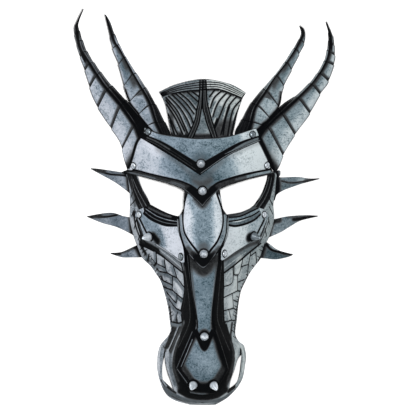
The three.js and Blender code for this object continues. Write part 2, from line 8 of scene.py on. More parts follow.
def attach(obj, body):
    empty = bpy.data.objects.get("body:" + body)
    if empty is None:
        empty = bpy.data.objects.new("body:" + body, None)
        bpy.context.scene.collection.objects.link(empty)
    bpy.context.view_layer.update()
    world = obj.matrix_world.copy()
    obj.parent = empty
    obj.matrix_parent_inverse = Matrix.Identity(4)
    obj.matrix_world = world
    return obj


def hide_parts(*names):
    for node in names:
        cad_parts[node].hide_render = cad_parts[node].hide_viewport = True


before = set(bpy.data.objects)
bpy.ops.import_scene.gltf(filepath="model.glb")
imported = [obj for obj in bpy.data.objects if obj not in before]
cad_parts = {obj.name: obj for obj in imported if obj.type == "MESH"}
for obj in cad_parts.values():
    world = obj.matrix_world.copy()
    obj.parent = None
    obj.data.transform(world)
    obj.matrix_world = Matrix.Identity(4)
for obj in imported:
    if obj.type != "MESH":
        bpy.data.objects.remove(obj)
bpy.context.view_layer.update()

# Camera: straight down on the mask, which lies on its back with its horns at the top of the picture.
# A long lens from far away, so that the high snout and the low rim keep their places in the picture.
PITCH = 0.0011
PICTURE = 416
CENTRE = (205.0, 207.1)
camera_height = 20.0
camera = bpy.data.objects.new("camera", bpy.data.cameras.new("camera"))
bpy.context.scene.collection.objects.link(camera)
middle = PICTURE / 2
camera.location = ((middle - CENTRE[0]) * PITCH, (CENTRE[1] - middle) * PITCH, camera_height)
camera.data.sensor_width = 36
camera.data.lens = camera.data.sensor_width * camera_height / (PICTURE * PITCH)
camera.data.clip_end = 50
bpy.context.scene.camera = camera
bpy.context.scene.view_settings.view_transform = "Standard"

# Floor: a plain white table top, far wider than the mask.
floor_reach = 4.0
floor_white = (0.95, 0.95, 0.95, 1)
floor_mesh = bpy.data.meshes.new("floor")
floor_mesh.from_pydata([(-floor_reach, -floor_reach, 0), (floor_reach, -floor_reach, 0),
                        (floor_reach, floor_reach, 0), (-floor_reach, floor_reach, 0)], [], [(0, 1, 2, 3)])
floor = bpy.data.objects.new("floor", floor_mesh)
bpy.context.scene.collection.objects.link(floor)
floor_paint = bpy.data.materials.new("floor_white")
floor_paint.use_nodes = True
floor_shader = floor_paint.node_tree.nodes["Principled BSDF"]
floor_shader.inputs["Base Color"].default_value = floor_white
floor_shader.inputs["Roughness"].default_value = 0.9
floor_shader.inputs["Specular IOR Level"].default_value = 0.1
floor_mesh.materials.append(floor_paint)

# Light: a soft lamp close to the camera's line, so that the light also falls through the eyes on the
# floor behind them, a weaker one beyond the left horns, and a white room.
LAMPS = [
    ("lamp_front", (0.04, 0.07, 3.2), 0.16, 105),
    ("lamp_left", (-1.2, 0.9, 1.6), 0.8, 12),
]
for lamp_name, lamp_place, lamp_size, lamp_power in LAMPS:
    light = bpy.data.lights.new(lamp_name, "AREA")
    light.shape = "DISK"
    light.size = lamp_size
    light.energy = lamp_power
    lamp = bpy.data.objects.new(lamp_name, light)
    lamp.location = lamp_place
    lamp.rotation_euler = Vector(lamp_place).to_track_quat("Z", "Y").to_euler()
    bpy.context.scene.collection.objects.link(lamp)
room_strength = 0.25
room = bpy.data.worlds.new("white_room")
room.use_nodes = True
room_light = room.node_tree.nodes["Background"]
room_light.inputs["Color"].default_value = (1, 1, 1, 1)
room_light.inputs["Strength"].default_value = room_strength
bpy.context.scene.world = room

# Face shell: one sheet of thick vegetable-tanned leather, wetted and pressed over a form of the
# dragon's face, cut out at the eyes and nostrils, tooled with scales on the snout, dyed black and
# painted silver-blue.
LEATHER = 0.003
PLATE = 0.0028
GAP = 0.00035
PLATE_STEP = PLATE + GAP
TUCK = LEATHER + GAP
RIDGE_X = 203.0
DOME_POWER = 2.3
NOSE_END_POWER = 8
NOSE_SIDE_POWER = 6
RIM_OVER_FRILL = 0.00335
FRILL_END = (262, 268)
OUTLINE_STEP = 0.0007
CUT_STEP = 0.0008
BRUSH_STEP = 0.001
RIM = [
    (70, 118, 288), (125, 116, 289), (150, 117, 287), (166, 121, 281.5), (172, 123, 278.5),
    (178, 127.5, 276.3), (193, 129.6, 275), (205, 129.9, 273.4), (216, 129.6, 274.2),
    (236, 133.6, 269.4), (246, 137.2, 264.6), (257.6, 142.3, 261), (266, 150.6, 254.8),
    (273.6, 155.8, 249.5), (281, 160.6, 245.6), (292.6, 164.4, 240.6), (307.5, 167.9, 238.1),
    (320, 169.6, 236.9), (329, 170.6, 235.6), (334, 169.2, 235.3), (341, 163.5, 238.6),
    (346, 159.8, 244.2), (357, 157.4, 246), (366, 157.1, 245), (376, 158.5, 243.3),
    (386, 161.6, 238.4), (393, 165.3, 232.4), (398, 170.3, 227), (402, 179, 220.5),
    (404.4, 189, 216), (405.4, 191, 214),
]
CROWN = [
    (70, 30), (100, 39), (125, 45), (150, 49), (165, 50.5), (178, 53), (190, 57.5), (202, 62),
    (215, 65.5), (235, 68), (255, 68), (275, 67), (300, 64), (325, 60), (345, 57), (365, 52.5),
    (380, 46), (390, 38.5), (397, 29), (401, 20), (404, 8), (405.4, -3),
]
NOSE = [
    (175, 0, 16), (215, 0.16, 22), (257, 0.2, 22), (285, 0.2, 17.5), (320, 0.18, 16),
    (345, 0.14, 22), (368, 0.1, 30), (404, 0, 30),
]


def through(stations):
    """A curve through (t, value) stations that never overshoots them."""
    t, v = (np.array(column, float) for column in zip(*stations))
    rise = np.diff(v) / np.diff(t)
    before, after = np.append(rise[:1], rise), np.append(rise, rise[-1:])
    same = before * after > 0
    slope = np.where(same, 2 * before * after / np.where(same, before + after, 1), 0)

    def curve(at):
        at = np.asarray(at, float)
        i = np.clip(np.searchsorted(t, at, side="left") - 1, 0, len(t) - 2)
        span = t[i + 1] - t[i]
        s = np.clip((at - t[i]) / span, 0, 1)
        bend = (1 - s) ** 2 * s * span * slope[i] - s * s * (1 - s) * span * slope[i + 1]
        return v[i] + (v[i + 1] - v[i]) * s * s * (3 - 2 * s) + bend

    return curve


def smooth(low, high, at):
    """0 below low, 1 above high."""
    s = np.clip((at - low) / (high - low), 0, 1)
    return s * s * (3 - 2 * s)


def fade(low, high, at):
    """1 below low, 0 above high."""
    return 1 - smooth(low, high, at)


def place(points):
    """Metres from steps of the picture, as drawn from the front: x to the right and y down."""
    points = np.asarray(points, float)
    return np.column_stack(((points[:, 0] - CENTRE[0]) * PITCH, (CENTRE[1] - points[:, 1]) * PITCH))


rim_left = through([(y, left) for y, left, _ in RIM])
rim_right = through([(y, right) for y, _, right in RIM])
crown_height = through([(y, z * 0.001) for y, z in CROWN])
nose_share = through([(y, share) for y, share, _ in NOSE])
nose_half = through([(y, half) for y, _, half in NOSE])


def step_down(y):
    """Metres back to the picture's steps downwards."""
    return CENTRE[1] - y / PITCH


def rim_level(y):
    """The face rests on the frills, and below their end on the table."""
    return RIM_OVER_FRILL * fade(*FRILL_END, step_down(y))


def shell_height(x, y):
    """The form of the face: a dome between the rims, with the nose standing up along its middle."""
    gy = step_down(y)
    across = x / PITCH + CENTRE[0] - RIDGE_X
    edge = np.where(across < 0, rim_left(gy), rim_right(gy)) - RIDGE_X
    u = np.abs(across / edge)
    share = nose_share(gy)
    nose = (1 - u ** NOSE_END_POWER) / (1 + np.abs(across / nose_half(gy)) ** NOSE_SIDE_POWER)
    low = rim_level(y)
    return low + (crown_height(gy) - low) * ((1 - share) * (1 - u ** DOME_POWER) + share * nose)


def shell_normal(x, y):
    step = 0.0004
    slope_x = (shell_height(x + step, y) - shell_height(x - step, y)) / (2 * step)
    slope_y = (shell_height(x, y + step) - shell_height(x, y - step)) / (2 * step)
    normal = np.column_stack((-slope_x, -slope_y, np.ones(len(x))))
    return normal / np.linalg.norm(normal, axis=1)[:, None]


def bilinear(table, row, column):
    """A table's value between its rows and columns."""
    row = np.clip(row, 0, table.shape[0] - 1.001)
    column = np.clip(column, 0, table.shape[1] - 1.001)
    i, j = row.astype(int), column.astype(int)
    a, b = row - i, column - j
    near = table[i, j] * (1 - b) + table[i, j + 1] * b
    far = table[i + 1, j] * (1 - b) + table[i + 1, j + 1] * b
    return near * (1 - a) + far * a


class Face:
    """The form of the face. flat() unrolls points of the front view to (length round the section,
    length along the ridge), back() takes them back, and lift() raises them straight up until they lie a
    distance over the surface."""
    step = 0.0005
    half_width = 0.11
    lowest, highest = -0.2195, 0.156
    half_round = 0.2
    steepest = 0.3

    def __init__(self):
        self.x = np.arange(-self.half_width, self.half_width, self.step)
        self.y = np.arange(self.lowest, self.highest, self.step)
        self.s = np.arange(-self.half_round, self.half_round, self.step)
        ridge = (RIDGE_X - CENTRE[0]) * PITCH
        x, y = np.meshgrid(self.x, self.y)
        height = shell_height(x, y)
        pieces = np.hypot(self.step, np.diff(height, axis=1))
        self.arc = np.column_stack((np.zeros(len(self.y)), np.cumsum(pieces, axis=1)))
        self.arc -= np.array([[np.interp(ridge, self.x, row)] for row in self.arc])
        self.unarc = np.array([np.interp(self.s, row, self.x) for row in self.arc])
        crown = crown_height(step_down(self.y))
        self.along = np.append(0, np.cumsum(np.hypot(self.step, np.diff(crown))))

    def flat(self, points):
        row, column = (points[:, 1] - self.y[0]) / self.step, (points[:, 0] - self.x[0]) / self.step
        return np.column_stack((bilinear(self.arc, row, column), np.interp(points[:, 1], self.y, self.along)))

    def back(self, points):
        y = np.interp(points[:, 1], self.along, self.y)
        row, column = (y - self.y[0]) / self.step, (points[:, 0] - self.s[0]) / self.step
        return np.column_stack((bilinear(self.unarc, row, column), y))

    def lift(self, points, distance):
        x, y = points[:, 0], points[:, 1]
        upright = np.maximum(shell_normal(x, y)[:, 2], self.steepest)
        return np.column_stack((x, y, shell_height(x, y) + distance / upright))


face = Face()
CURVE_POINTS = 16
BATCH = 2000


def even(points, step):
    """Points a step apart along a smooth curve through the given ones."""
    p = np.asarray(points, float)
    if len(p) > 2:
        q = np.concatenate((p[:1], p, p[-1:]))
        t = np.linspace(0, 1, CURVE_POINTS + 1)[:-1, None]
        parts = []
        for a, b, c, d in zip(q, q[1:], q[2:], q[3:]):
            va, vb = (c - a) / 2, (d - b) / 2
            cubic, square = 2 * b - 2 * c + va + vb, 3 * c - 3 * b - 2 * va - vb
            parts.append(cubic * t ** 3 + square * t ** 2 + va * t + b)
        p = np.concatenate(parts + [p[-1:]])
    length = np.append(0, np.cumsum(np.linalg.norm(np.diff(p, axis=0), axis=1)))
    at = np.linspace(0, length[-1], max(2, int(round(length[-1] / step)) + 1))
    return np.column_stack([np.interp(at, length, p[:, k]) for k in range(p.shape[1])])


def outline(corners):
    """Closed loop of smooth runs, each one starting at a corner where the run before it ends."""
    runs = []
    for i, points in enumerate(corners):
        following = corners[(i + 1) % len(corners)][0]
        runs.append(even(place(list(points) + [following]), OUTLINE_STEP)[:-1])
    return np.concatenate(runs)


def inside(points, loop):
    """True for the points inside a closed loop."""
    result = np.zeros(len(points), bool)
    a, b = loop, np.roll(loop, -1, axis=0)
    rise = np.where(b[:, 1] == a[:, 1], 1, b[:, 1] - a[:, 1])
    for start in range(0, len(points), BATCH):
        x, y = (points[start:start + BATCH, k, None] for k in (0, 1))
        crosses = (a[:, 1] > y) != (b[:, 1] > y)
        at = a[:, 0] + (y - a[:, 1]) * (b[:, 0] - a[:, 0]) / rise
        result[start:start + BATCH] = (crosses & (x < at)).sum(axis=1) % 2 == 1
    return result


def in_sheet(points, loops):
    """True for the points inside the first loop and outside the others."""
    result = inside(points, loops[0])
    for hole in loops[1:]:
        result &= ~inside(points, hole)
    return result


def distance_to(points, line, closed=False):
    """How far each point is from a line."""
    a = line if closed else line[:-1]
    along = (np.roll(line, -1, axis=0) if closed else line[1:]) - a
    square = np.maximum((along ** 2).sum(axis=1), 1e-18)
    result = np.empty(len(points))
    for start in range(0, len(points), BATCH):
        p = points[start:start + BATCH, None, :]
        t = np.clip(((p - a) * along).sum(axis=2) / square, 0, 1)
        nearest = a + t[:, :, None] * along
        result[start:start + BATCH] = np.sqrt(((p - nearest) ** 2).sum(axis=2)).min(axis=1)
    return result


def beside(line, distance, closed=False):
    """The line moved sideways, to its left."""
    ahead = np.roll(line, -1, axis=0) - np.roll(line, 1, axis=0) if closed else np.gradient(line, axis=0)
    ahead = ahead / np.maximum(np.linalg.norm(ahead, axis=1), 1e-12)[:, None]
    return line + np.column_stack((-ahead[:, 1], ahead[:, 0])) * distance


class Mark:
    """One pass of a tool or brush along a line, or over the area inside a closed one. Lengths are in
    millimetres. The leather is pressed down by depth, and the darkness (0 to 1, black: dye, and in
    some marks painted shade) and tone (0 dark to 1 pale paint, in some marks painted light) are brought
    towards the given values."""
    widest_crisp = 0.0021

    def __init__(self, line, width, soft, depth, dye, tone, area=False):
        self.line, self.area = line, area
        self.width, self.soft, self.depth = width * 0.001, soft * 0.001, depth * 0.001
        self.dye, self.tone = dye, tone

    def rows(self, line):
        """Rows of points that make the mark's edges crisp in the mesh."""
        if self.soft > self.widest_crisp:
            return []
        far = self.width + self.soft
        if self.area:
            return [beside(line, shift, True) for shift in (-self.soft / 2, self.soft / 2)]
        return [beside(line, shift) for shift in {0.0, -self.width, self.width, -far, far}]

    def weight(self, points, line):
        """How much of the mark each point takes, from 0 to 1."""
        if self.area:
            signed = distance_to(points, line, True) * np.where(inside(points, line), -1, 1)
            return fade(-self.soft / 2, self.soft / 2, signed)
        return fade(self.width, self.width + self.soft, distance_to(points, line))


def cut(points, width, soft, depth, dye=1.0):
    """A line pressed in with a tool, black at the bottom."""
    return Mark(even(place(points), CUT_STEP), width, soft, depth, dye, None)


def brush(points, width, soft, dye=None, tone=None):
    """Dye or paint laid along a line, in some marks as painted light and shade; one point alone makes a spot.
    """
    line = place(points)
    line = np.concatenate((line, line + 1e-6)) if len(line) == 1 else even(line, BRUSH_STEP)
    return Mark(line, width, soft, 0.0, dye, tone)


def region(corners, soft, rise=0.0, dye=None, tone=None):
    """An area inside an outline, painted, or raised by pressing down what lies round it."""
    return Mark(outline(corners), 0.0, soft, -rise, dye, tone, True)


def cuts(lines, width, soft, depth, dye=1.0):
    """The same cut along each line."""
    return [cut(line, width, soft, depth, dye) for line in lines]


def brushes(lines, width, soft, dye=None, tone=None, shift=(0, 0)):
    """The same brush stroke along each line, moved by shift."""
    return [brush(np.array(line) + shift, width, soft, dye, tone) for line in lines]


class Scatter:
    """Points that keep a distance from each other. The cells it sorts them into are as wide as the
    largest distance asked for."""
    cell = 0.0013

    def __init__(self):
        self.cells, self.points, self.drops = {}, [], []

    def add(self, points, distance, drop=0.0):
        square = distance * distance
        for x, y in points.tolist():
            i, j = int(x // self.cell), int(y // self.cell)
            near = False
            if distance:
                for a in (i - 1, i, i + 1):
                    for b in (j - 1, j, j + 1):
                        for px, py in self.cells.get((a, b), ()):
                            if (px - x) ** 2 + (py - y) ** 2 < square:
                                near = True
            if not near:
                self.cells.setdefault((i, j), []).append((x, y))
                self.points.append((x, y))
                self.drops.append(drop)


def hexagons(points, spacing):
    """An even grid over the box round the given points, every second row moved by half a space."""
    low, high = points.min(axis=0), points.max(axis=0)
    rows = np.arange(low[1], high[1], spacing * HEXAGON_ROW)
    columns = np.arange(low[0], high[0], spacing)
    x, y = np.meshgrid(columns, rows)
    x[1::2] += spacing / 2
    return np.column_stack((x.ravel(), y.ravel()))


HEXAGON_ROW = 0.866
EDGE_RINGS = (0.12, 0.45, 1.0)
RING_CLEAR = 0.96
RING_APART = 0.0001
ROWS_APART = 0.0003
GRID_APART = 0.62
BACK_SPACING = 0.003
BACK_APART = Scatter.cell
RIM_DYE = 0.9
BACK_DYE = 0.95
BACK_TONE = 0.2


def web(scatter, loops):
    """Triangles between the points, inside the first loop and outside the others. The loops' points
    come first and in order."""
    points = np.array(scatter.points)
    rim_edges, start = [], 0
    for loop in loops:
        n = len(loop)
        rim_edges += [(start + i, start + (i + 1) % n) for i in range(n)]
        start += n
    result = delaunay_2d_cdt([Vector(p) for p in (points * 1000).tolist()], rim_edges, [], 0, 1e-7)
    triangles = np.array(result[2])
    on_rim = np.flatnonzero((triangles < start).all(axis=1))
    middles = points[triangles[on_rim]].mean(axis=1)
    keep = np.ones(len(triangles), bool)
    keep[on_rim] = in_sheet(middles, loops)
    return triangles[keep]


def new_piece(name, points, triangles, values, material, angle=50):
    """A mesh object from arrays, with a named number on each point for the material."""
    mesh = bpy.data.meshes.new(name)
    mesh.vertices.add(len(points))
    mesh.vertices.foreach_set("co", np.asarray(points, np.float32).ravel())
    mesh.loops.add(triangles.size)
    mesh.loops.foreach_set("vertex_index", triangles.astype(np.int32).ravel())
    mesh.polygons.add(len(triangles))
    mesh.polygons.foreach_set("loop_start", np.arange(0, triangles.size, 3, dtype=np.int32))
    mesh.update(calc_edges=True)
    for key, numbers in values.items():
        mesh.attributes.new(key, "FLOAT", "POINT").data.foreach_set("value", np.asarray(numbers, np.float32))
    mesh.shade_smooth()
    mesh.set_sharp_from_angle(angle=math.radians(angle))
    mesh.materials.append(material)
    piece = bpy.data.objects.new(name, mesh)
    bpy.context.scene.collection.objects.link(piece)
    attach(piece, "root")
    return piece


def flat_seat(points):
    """A plate lies on the shell."""
    return GAP


def worked(points, marks, form, paint):
    """Height, darkness (dye, and in some marks painted shade) and tone of points on the flat hide after all
    marks. paint is the tone before them.
    """
    height, depth, dye = np.zeros(len(points)), np.zeros(len(points)), np.zeros(len(points))
    tone = np.full(len(points), paint)
    for mark in marks:
        line = form.flat(mark.line)
        reach = mark.width + mark.soft
        low, high = line.min(axis=0) - reach, line.max(axis=0) + reach
        near = np.flatnonzero(((points > low) & (points < high)).all(axis=1))
        if not len(near):
            continue
        weight = mark.weight(points[near], line)
        if mark.depth > 0:
            depth[near] = np.maximum(depth[near], mark.depth * weight)
        height[near] -= min(mark.depth, 0) * weight
        if mark.dye is not None:
            dye[near] += (mark.dye - dye[near]) * weight
        if mark.tone is not None:
            tone[near] += (mark.tone - tone[near]) * weight
    return height - depth, dye, tone


def two_sided(dye, tone, back_points):
    """Darkness (dye, and in places painted shade) and tone for the material: those of the front, and a dark
    dyed back.
    """
    return {"dye": np.append(dye, np.full(back_points, BACK_DYE)),
            "tone": np.append(tone, np.full(back_points, BACK_TONE))}


def leather(name, outlines, marks, material, form=face, bottom=flat_seat, thick=PLATE, spacing=0.0009,
            edge=0.0009, tone=0.6, covers=(), floor=None, top=None):
    """One sheet of leather. Its outlines are the outer one and then the holes, bottom is the height of
    its underside over the form, edge the radius of its rounded rim, covers what lies on it as (outline,
    height), floor the lowest height that it may have, and top a height added to its front."""
    loops = []
    for k, loop in enumerate(outlines):
        ahead = np.roll(loop, -1, axis=0)
        anticlockwise = (loop[:, 0] * ahead[:, 1] - ahead[:, 0] * loop[:, 1]).sum() > 0
        loops.append(loop if anticlockwise == (k == 0) else loop[::-1])
    flat_loops = [form.flat(loop) for loop in loops]
    rim_count = sum(len(loop) for loop in loops)
    all_rim = np.concatenate(flat_loops)

    front = Scatter()
    front.add(all_rim, 0.0, edge)
    for share in EDGE_RINGS:
        drop = edge * (1 - math.sqrt(1 - (1 - share) ** 2))
        for loop in flat_loops:
            ring = beside(loop, share * edge, True)
            clear = np.min([distance_to(ring, other, True) for other in flat_loops], axis=0)
            front.add(ring[clear > share * edge * RING_CLEAR], EDGE_RINGS[0] * edge + RING_APART, drop)
    rows = np.concatenate([row for mark in marks for row in mark.rows(form.flat(mark.line))])
    front.add(rows[in_sheet(rows, flat_loops)], ROWS_APART)
    between = hexagons(all_rim, spacing)
    front.add(between[in_sheet(between, flat_loops)], GRID_APART * spacing)
    faces = web(front, flat_loops)
    flat = np.array(front.points)
    height, dyed, toned = worked(flat, marks, form, tone)
    plan = np.concatenate(loops + [form.back(flat[rim_count:])])
    under = bottom(plan) + np.zeros(len(plan))
    over = under + thick + height - np.array(front.drops)
    if top is not None:
        over += top(plan)
    for loop, ceiling in covers:
        covered = inside(plan, loop)
        over[covered] = np.minimum(over[covered], ceiling(plan[covered]))
    front_points = form.lift(plan, over)

    rear = Scatter()
    rear.add(all_rim, 0.0)
    between = hexagons(all_rim, BACK_SPACING)
    rear.add(between[in_sheet(between, flat_loops)], BACK_APART)
    rear_faces = web(rear, flat_loops)
    rear_plan = np.concatenate(loops + [form.back(np.array(rear.points)[rim_count:])])
    rear_points = form.lift(rear_plan, bottom(rear_plan) + np.zeros(len(rear_plan)))
    if floor is not None:
        rear_points[:, 2] = np.maximum(rear_points[:, 2], floor(rear_plan))
        front_points[:, 2] = np.maximum(front_points[:, 2], floor(plan))

    offset, start, walls = len(front_points), 0, []
    for loop in loops:
        a = start + np.arange(len(loop))
        b = np.roll(a, -1)
        walls += [np.column_stack((b, a, a + offset)), np.column_stack((b, a + offset, b + offset))]
        start += len(loop)
    dyed[:rim_count] = np.maximum(dyed[:rim_count], RIM_DYE)
    return new_piece(
        name, np.concatenate((front_points, rear_points)),
        np.concatenate([faces, rear_faces[:, ::-1] + offset] + walls),
        two_sided(dyed, toned, len(rear_points)), material,
    )


class Wire:
    """A value in a material: sums written with it add Math nodes."""

    def __init__(self, finish, socket):
        self.finish, self.socket = finish, socket

    def maths(self, operation, *values):
        return self.finish.node("ShaderNodeMath", {"operation": operation}, dict(enumerate(values)))

    def __add__(self, other):
        return self.maths("ADD", self, other)

    def __sub__(self, other):
        return self.maths("SUBTRACT", self, other)

    def __rsub__(self, other):
        return self.maths("SUBTRACT", other, self)

    def __mul__(self, other):
        return self.maths("MULTIPLY", self, other)

    __radd__, __rmul__ = __add__, __mul__


class Finish:
    """A material under construction."""

    def __init__(self, name):
        self.material = bpy.data.materials.new(name)
        self.material.use_nodes = True
        self.tree = self.material.node_tree
        self.shader = self.tree.nodes["Principled BSDF"]

    def node(self, kind, settings=None, sockets=None, output=0):
        """Any node: its settings first, then values or wires for its sockets."""
        made = self.tree.nodes.new(kind)
        for key, value in (settings or {}).items():
            setattr(made, key, value)
        for key, value in (sockets or {}).items():
            self.feed(made.inputs[key], value)
        return Wire(self, made.outputs[output])

    def feed(self, socket, value):
        if isinstance(value, Wire):
            self.tree.links.new(value.socket, socket)
        else:
            socket.default_value = value

    def colour_mix(self, factor, first, second, blend="MIX"):
        settings = {"data_type": "RGBA", "blend_type": blend, "clamp_factor": True}
        return self.node("ShaderNodeMix", settings, {0: factor, 6: first, 7: second}, 2)

    def number(self, name):
        """A number that the mesh holds on each of its points."""
        return self.node("ShaderNodeAttribute", {"attribute_name": name}, {}, 2)

    def noise(self, spot, scale, detail, roughness):
        sockets = {"Vector": spot, "Scale": scale, "Detail": detail, "Roughness": roughness}
        return self.node("ShaderNodeTexNoise", {}, sockets)

    def ramp(self, value, low, high):
        """0 below low, 1 above high, smooth between."""
        settings = {"interpolation_type": "SMOOTHSTEP"}
        return self.node("ShaderNodeMapRange", settings, {"Value": value, "From Min": low, "From Max": high})

    def shader_values(self, **values):
        for key, value in values.items():
            self.feed(self.shader.inputs[key.replace("_", " ")], value)


# Black and brown-grey that the darkness number brings into the paint: dye, and where marks stand for it,
# painted shade.
BLACK_DYE_AND_SHADE = (0.002, 0.0024, 0.003, 1)
STAIN_AND_SHADE = (0.06, 0.063, 0.066, 1)
PIT = (0.015, 0.03, 0.036, 1)
CLOUDS = dict(scale=55, detail=4, roughness=0.6)
MOTTLE = dict(scale=380, detail=5, roughness=0.75)
SPECKS = dict(scale=820, detail=2, roughness=0.6)
VIOLET_SIDE = (1.0, 0.98, 1.0, 1)
GREEN_SIDE = (0.97, 1.0, 0.95, 1)
PORES = 900
GRAIN = 0.35
GRAIN_DEPTH = 0.0004


def painted_leather(name, dark, middle, pale):
    """Black-dyed leather under rubbed silver-blue paint: cloudy, speckled with fine dark pits, worn
    through in specks at the edge of each dyed mark, with the grain of the hide under it. The mesh's
    darkness number, black dye and in places painted shade, turns it brown-grey and then black."""
    finish = Finish(name)
    spot = finish.node("ShaderNodeTexCoord", {}, {}, 3)
    clouds = finish.noise(spot, **CLOUDS)
    mottle = finish.noise(spot, **MOTTLE)
    speck = finish.noise(spot, **SPECKS)
    tone = finish.number("tone") + (clouds - 0.5) * 0.65 + (mottle - 0.5) * 0.8 + (speck - 0.5) * 0.4
    light = finish.ramp(tone, -0.1, 1.1)
    paint = finish.colour_mix(light * 2 - 1, finish.colour_mix(light * 2, dark, middle), pale)
    right = finish.node("ShaderNodeSeparateXYZ", {}, {"Vector": spot})
    hue = finish.colour_mix(finish.ramp(right, -0.05, 0.06), VIOLET_SIDE, GREEN_SIDE)
    paint = finish.colour_mix(1.0, paint, hue, "MULTIPLY")
    pits = finish.ramp(mottle + (speck - 0.5) * 0.8 + (clouds - 0.5) * 0.5, 0.43, 0.34)
    paint = finish.colour_mix(pits * (0.75 - light * 0.5), paint, PIT)
    # Darkness on the mesh: black dye, and in some marks painted shade; half of it turns the paint brown-grey.
    dye = finish.number("dye")
    half_dyed = dye * (1 - dye) * 4
    broken = dye + (mottle - 0.5) * 0.5 * half_dyed + (speck - 0.5) * 0.25 * half_dyed
    black = finish.ramp(broken, 0.35, 0.92)
    worn = finish.colour_mix(finish.ramp(broken, 0.0, 0.7), paint, STAIN_AND_SHADE)
    finish.shader_values(
        Base_Color=finish.colour_mix(black, worn, BLACK_DYE_AND_SHADE),
        Roughness=0.52 + (mottle - 0.5) * 0.3 + black * 0.2,
        Metallic=(1 - black) * 0.05,
        Specular_IOR_Level=0.02,
    )
    pores = finish.node("ShaderNodeTexVoronoi", {"feature": "DISTANCE_TO_EDGE"},
                        {"Vector": spot, "Scale": PORES})
    height = finish.ramp(pores, 0.0, 0.25) * 0.5 + mottle * 0.8 + speck * 0.4
    bump = finish.node("ShaderNodeBump", {}, {"Strength": GRAIN, "Distance": GRAIN_DEPTH, "Height": height})
    finish.shader_values(Normal=bump)
    return finish.material


shell_paint = painted_leather(
    "shell_paint", (0.04, 0.07, 0.09, 1), (0.215, 0.25, 0.28, 1), (0.50, 0.54, 0.57, 1))

TOP_EDGE = [
    [(126.2, 175), (126.6, 173.4), (131.5, 168), (135, 158), (139, 146), (144, 136.5)],
    [(144, 136.5), (150, 132.6), (160.5, 136.6), (187.5, 140.5), (203.6, 141.2), (229, 139), (251.5, 132.8)],
    [(251.5, 132.8), (256.5, 139), (261, 149.5), (266.5, 161), (269.6, 170.2)],
    [(269.6, 170.2), (276.8, 173.3)],
]
RIM_FROM, RIM_TO, RIM_STEP = 176, 404.9, 0.8
rim_y = np.arange(RIM_FROM, RIM_TO, RIM_STEP)
rim_runs = [
    even(place(np.column_stack((rim_right(rim_y), rim_y))), OUTLINE_STEP),
    even(place(np.column_stack((rim_left(rim_y), rim_y)))[::-1], OUTLINE_STEP),
]
shell_loop = np.concatenate([even(place(run), OUTLINE_STEP)[:-1] for run in TOP_EDGE] + rim_runs)
eye_left = outline([
    [(137.6, 174.8), (162.6, 180.4), (176, 184.8)],
    [(185.4, 189.5), (185, 200), (183.4, 210)],
    [(180.4, 215.6)],
    [(177.3, 216), (169.5, 213.7), (160.9, 209.9)],
    [(150.6, 204.5)],
    [(147.1, 196.7), (142, 187.6)],
])
eye_right = outline([
    [(267.2, 174.8), (245.9, 179), (231.6, 183)],
    [(219.4, 188), (220.2, 198), (222, 207)],
    [(226.6, 214.3)],
    [(228.6, 214.2), (240.2, 212.2)],
    [(248.8, 208.8), (253.4, 205.3)],
    [(258, 199), (262, 192.1), (266, 181.2)],
])
nostril_left = outline([
    [(164.7, 355.5), (162.5, 365), (162.2, 375)],
    [(163, 380)],
    [(173.5, 389.5), (170.5, 380.2), (167.9, 373), (165.6, 364)],
])
nostril_right = outline([
    [(241.5, 354.5), (240.4, 363.6), (239.1, 373.6), (236.4, 382.3)],
    [(229.4, 388.2), (230.4, 380.3), (234.4, 368.9), (237.9, 358.2)],
])
SCALES_LEFT = [
    [(147.8, 261), (149.2, 254.1)], [(151.5, 258), (156.4, 263.3), (156.1, 251.8)],
    [(156.4, 263.3), (165.6, 267.9)], [(165.6, 267.9), (164.4, 259.8)],
    [(165.6, 267.9), (167.9, 273), (177.1, 277.9)], [(177.1, 277.9), (173.6, 266.7)],
    [(177.1, 277.9), (184.5, 287.4)], [(158, 275), (162.1, 279.9), (172.8, 285.1)],
    [(172.8, 285.1), (172.5, 277.1)], [(172.8, 285.1), (173, 290.3), (182.8, 298.9)],
    [(166.7, 292), (175.9, 302.3), (177.1, 293.7)], [(169, 299), (175.3, 307.5), (181.7, 310.9)],
    [(177.6, 312.1), (175.9, 320)], [(171, 321.5), (178, 323), (182, 322)],
    [(154, 266), (156.4, 263.3)], [(160, 271.5), (167.9, 273)], [(163.5, 287), (173, 290.3)],
]
SCALES_RIGHT = [
    [(234, 266.2), (234, 274.8)], [(234, 274.8), (239.2, 273.3), (242.6, 259.8)],
    [(232.9, 266.7), (232.3, 282.2), (224, 286.3)], [(240.9, 266.7), (248.4, 264.4)],
    [(248.4, 264.4), (250.7, 253)], [(248.4, 264.4), (247.2, 278.2)],
    [(237.5, 275.3), (237.5, 290.8)], [(237.5, 290.8), (224, 297.2)], [(237.5, 282.2), (244.4, 279.4)],
    [(232.3, 294.3), (233.5, 308.1)], [(233.5, 308.1), (224.3, 310.4)],
    [(228.9, 310.4), (231.2, 320)], [(231.2, 320), (224.8, 322)], [(250.7, 255.8), (255.8, 251.8)],
    [(255.8, 251.8), (256.4, 261)], [(237.5, 290.8), (243, 292)], [(233.5, 300), (240, 303)],
    [(233.5, 308.1), (237.5, 311)], [(231.2, 320), (236, 321)],
]
STRIP_LINES = [
    [(130.5, 205.5), (135.9, 199.3)], [(131, 197), (134.5, 188)], [(131.5, 216), (134.5, 209)],
    [(134, 229), (136.5, 219)], [(136.5, 219), (141.5, 236), (146, 243)], [(138, 240), (141, 233)],
    [(272.8, 205), (268.5, 197)], [(272.8, 214), (269.4, 207)], [(269.5, 224), (267.4, 214)],
    [(269, 220), (262, 238), (258, 244)], [(266.5, 236), (265, 229)],
]
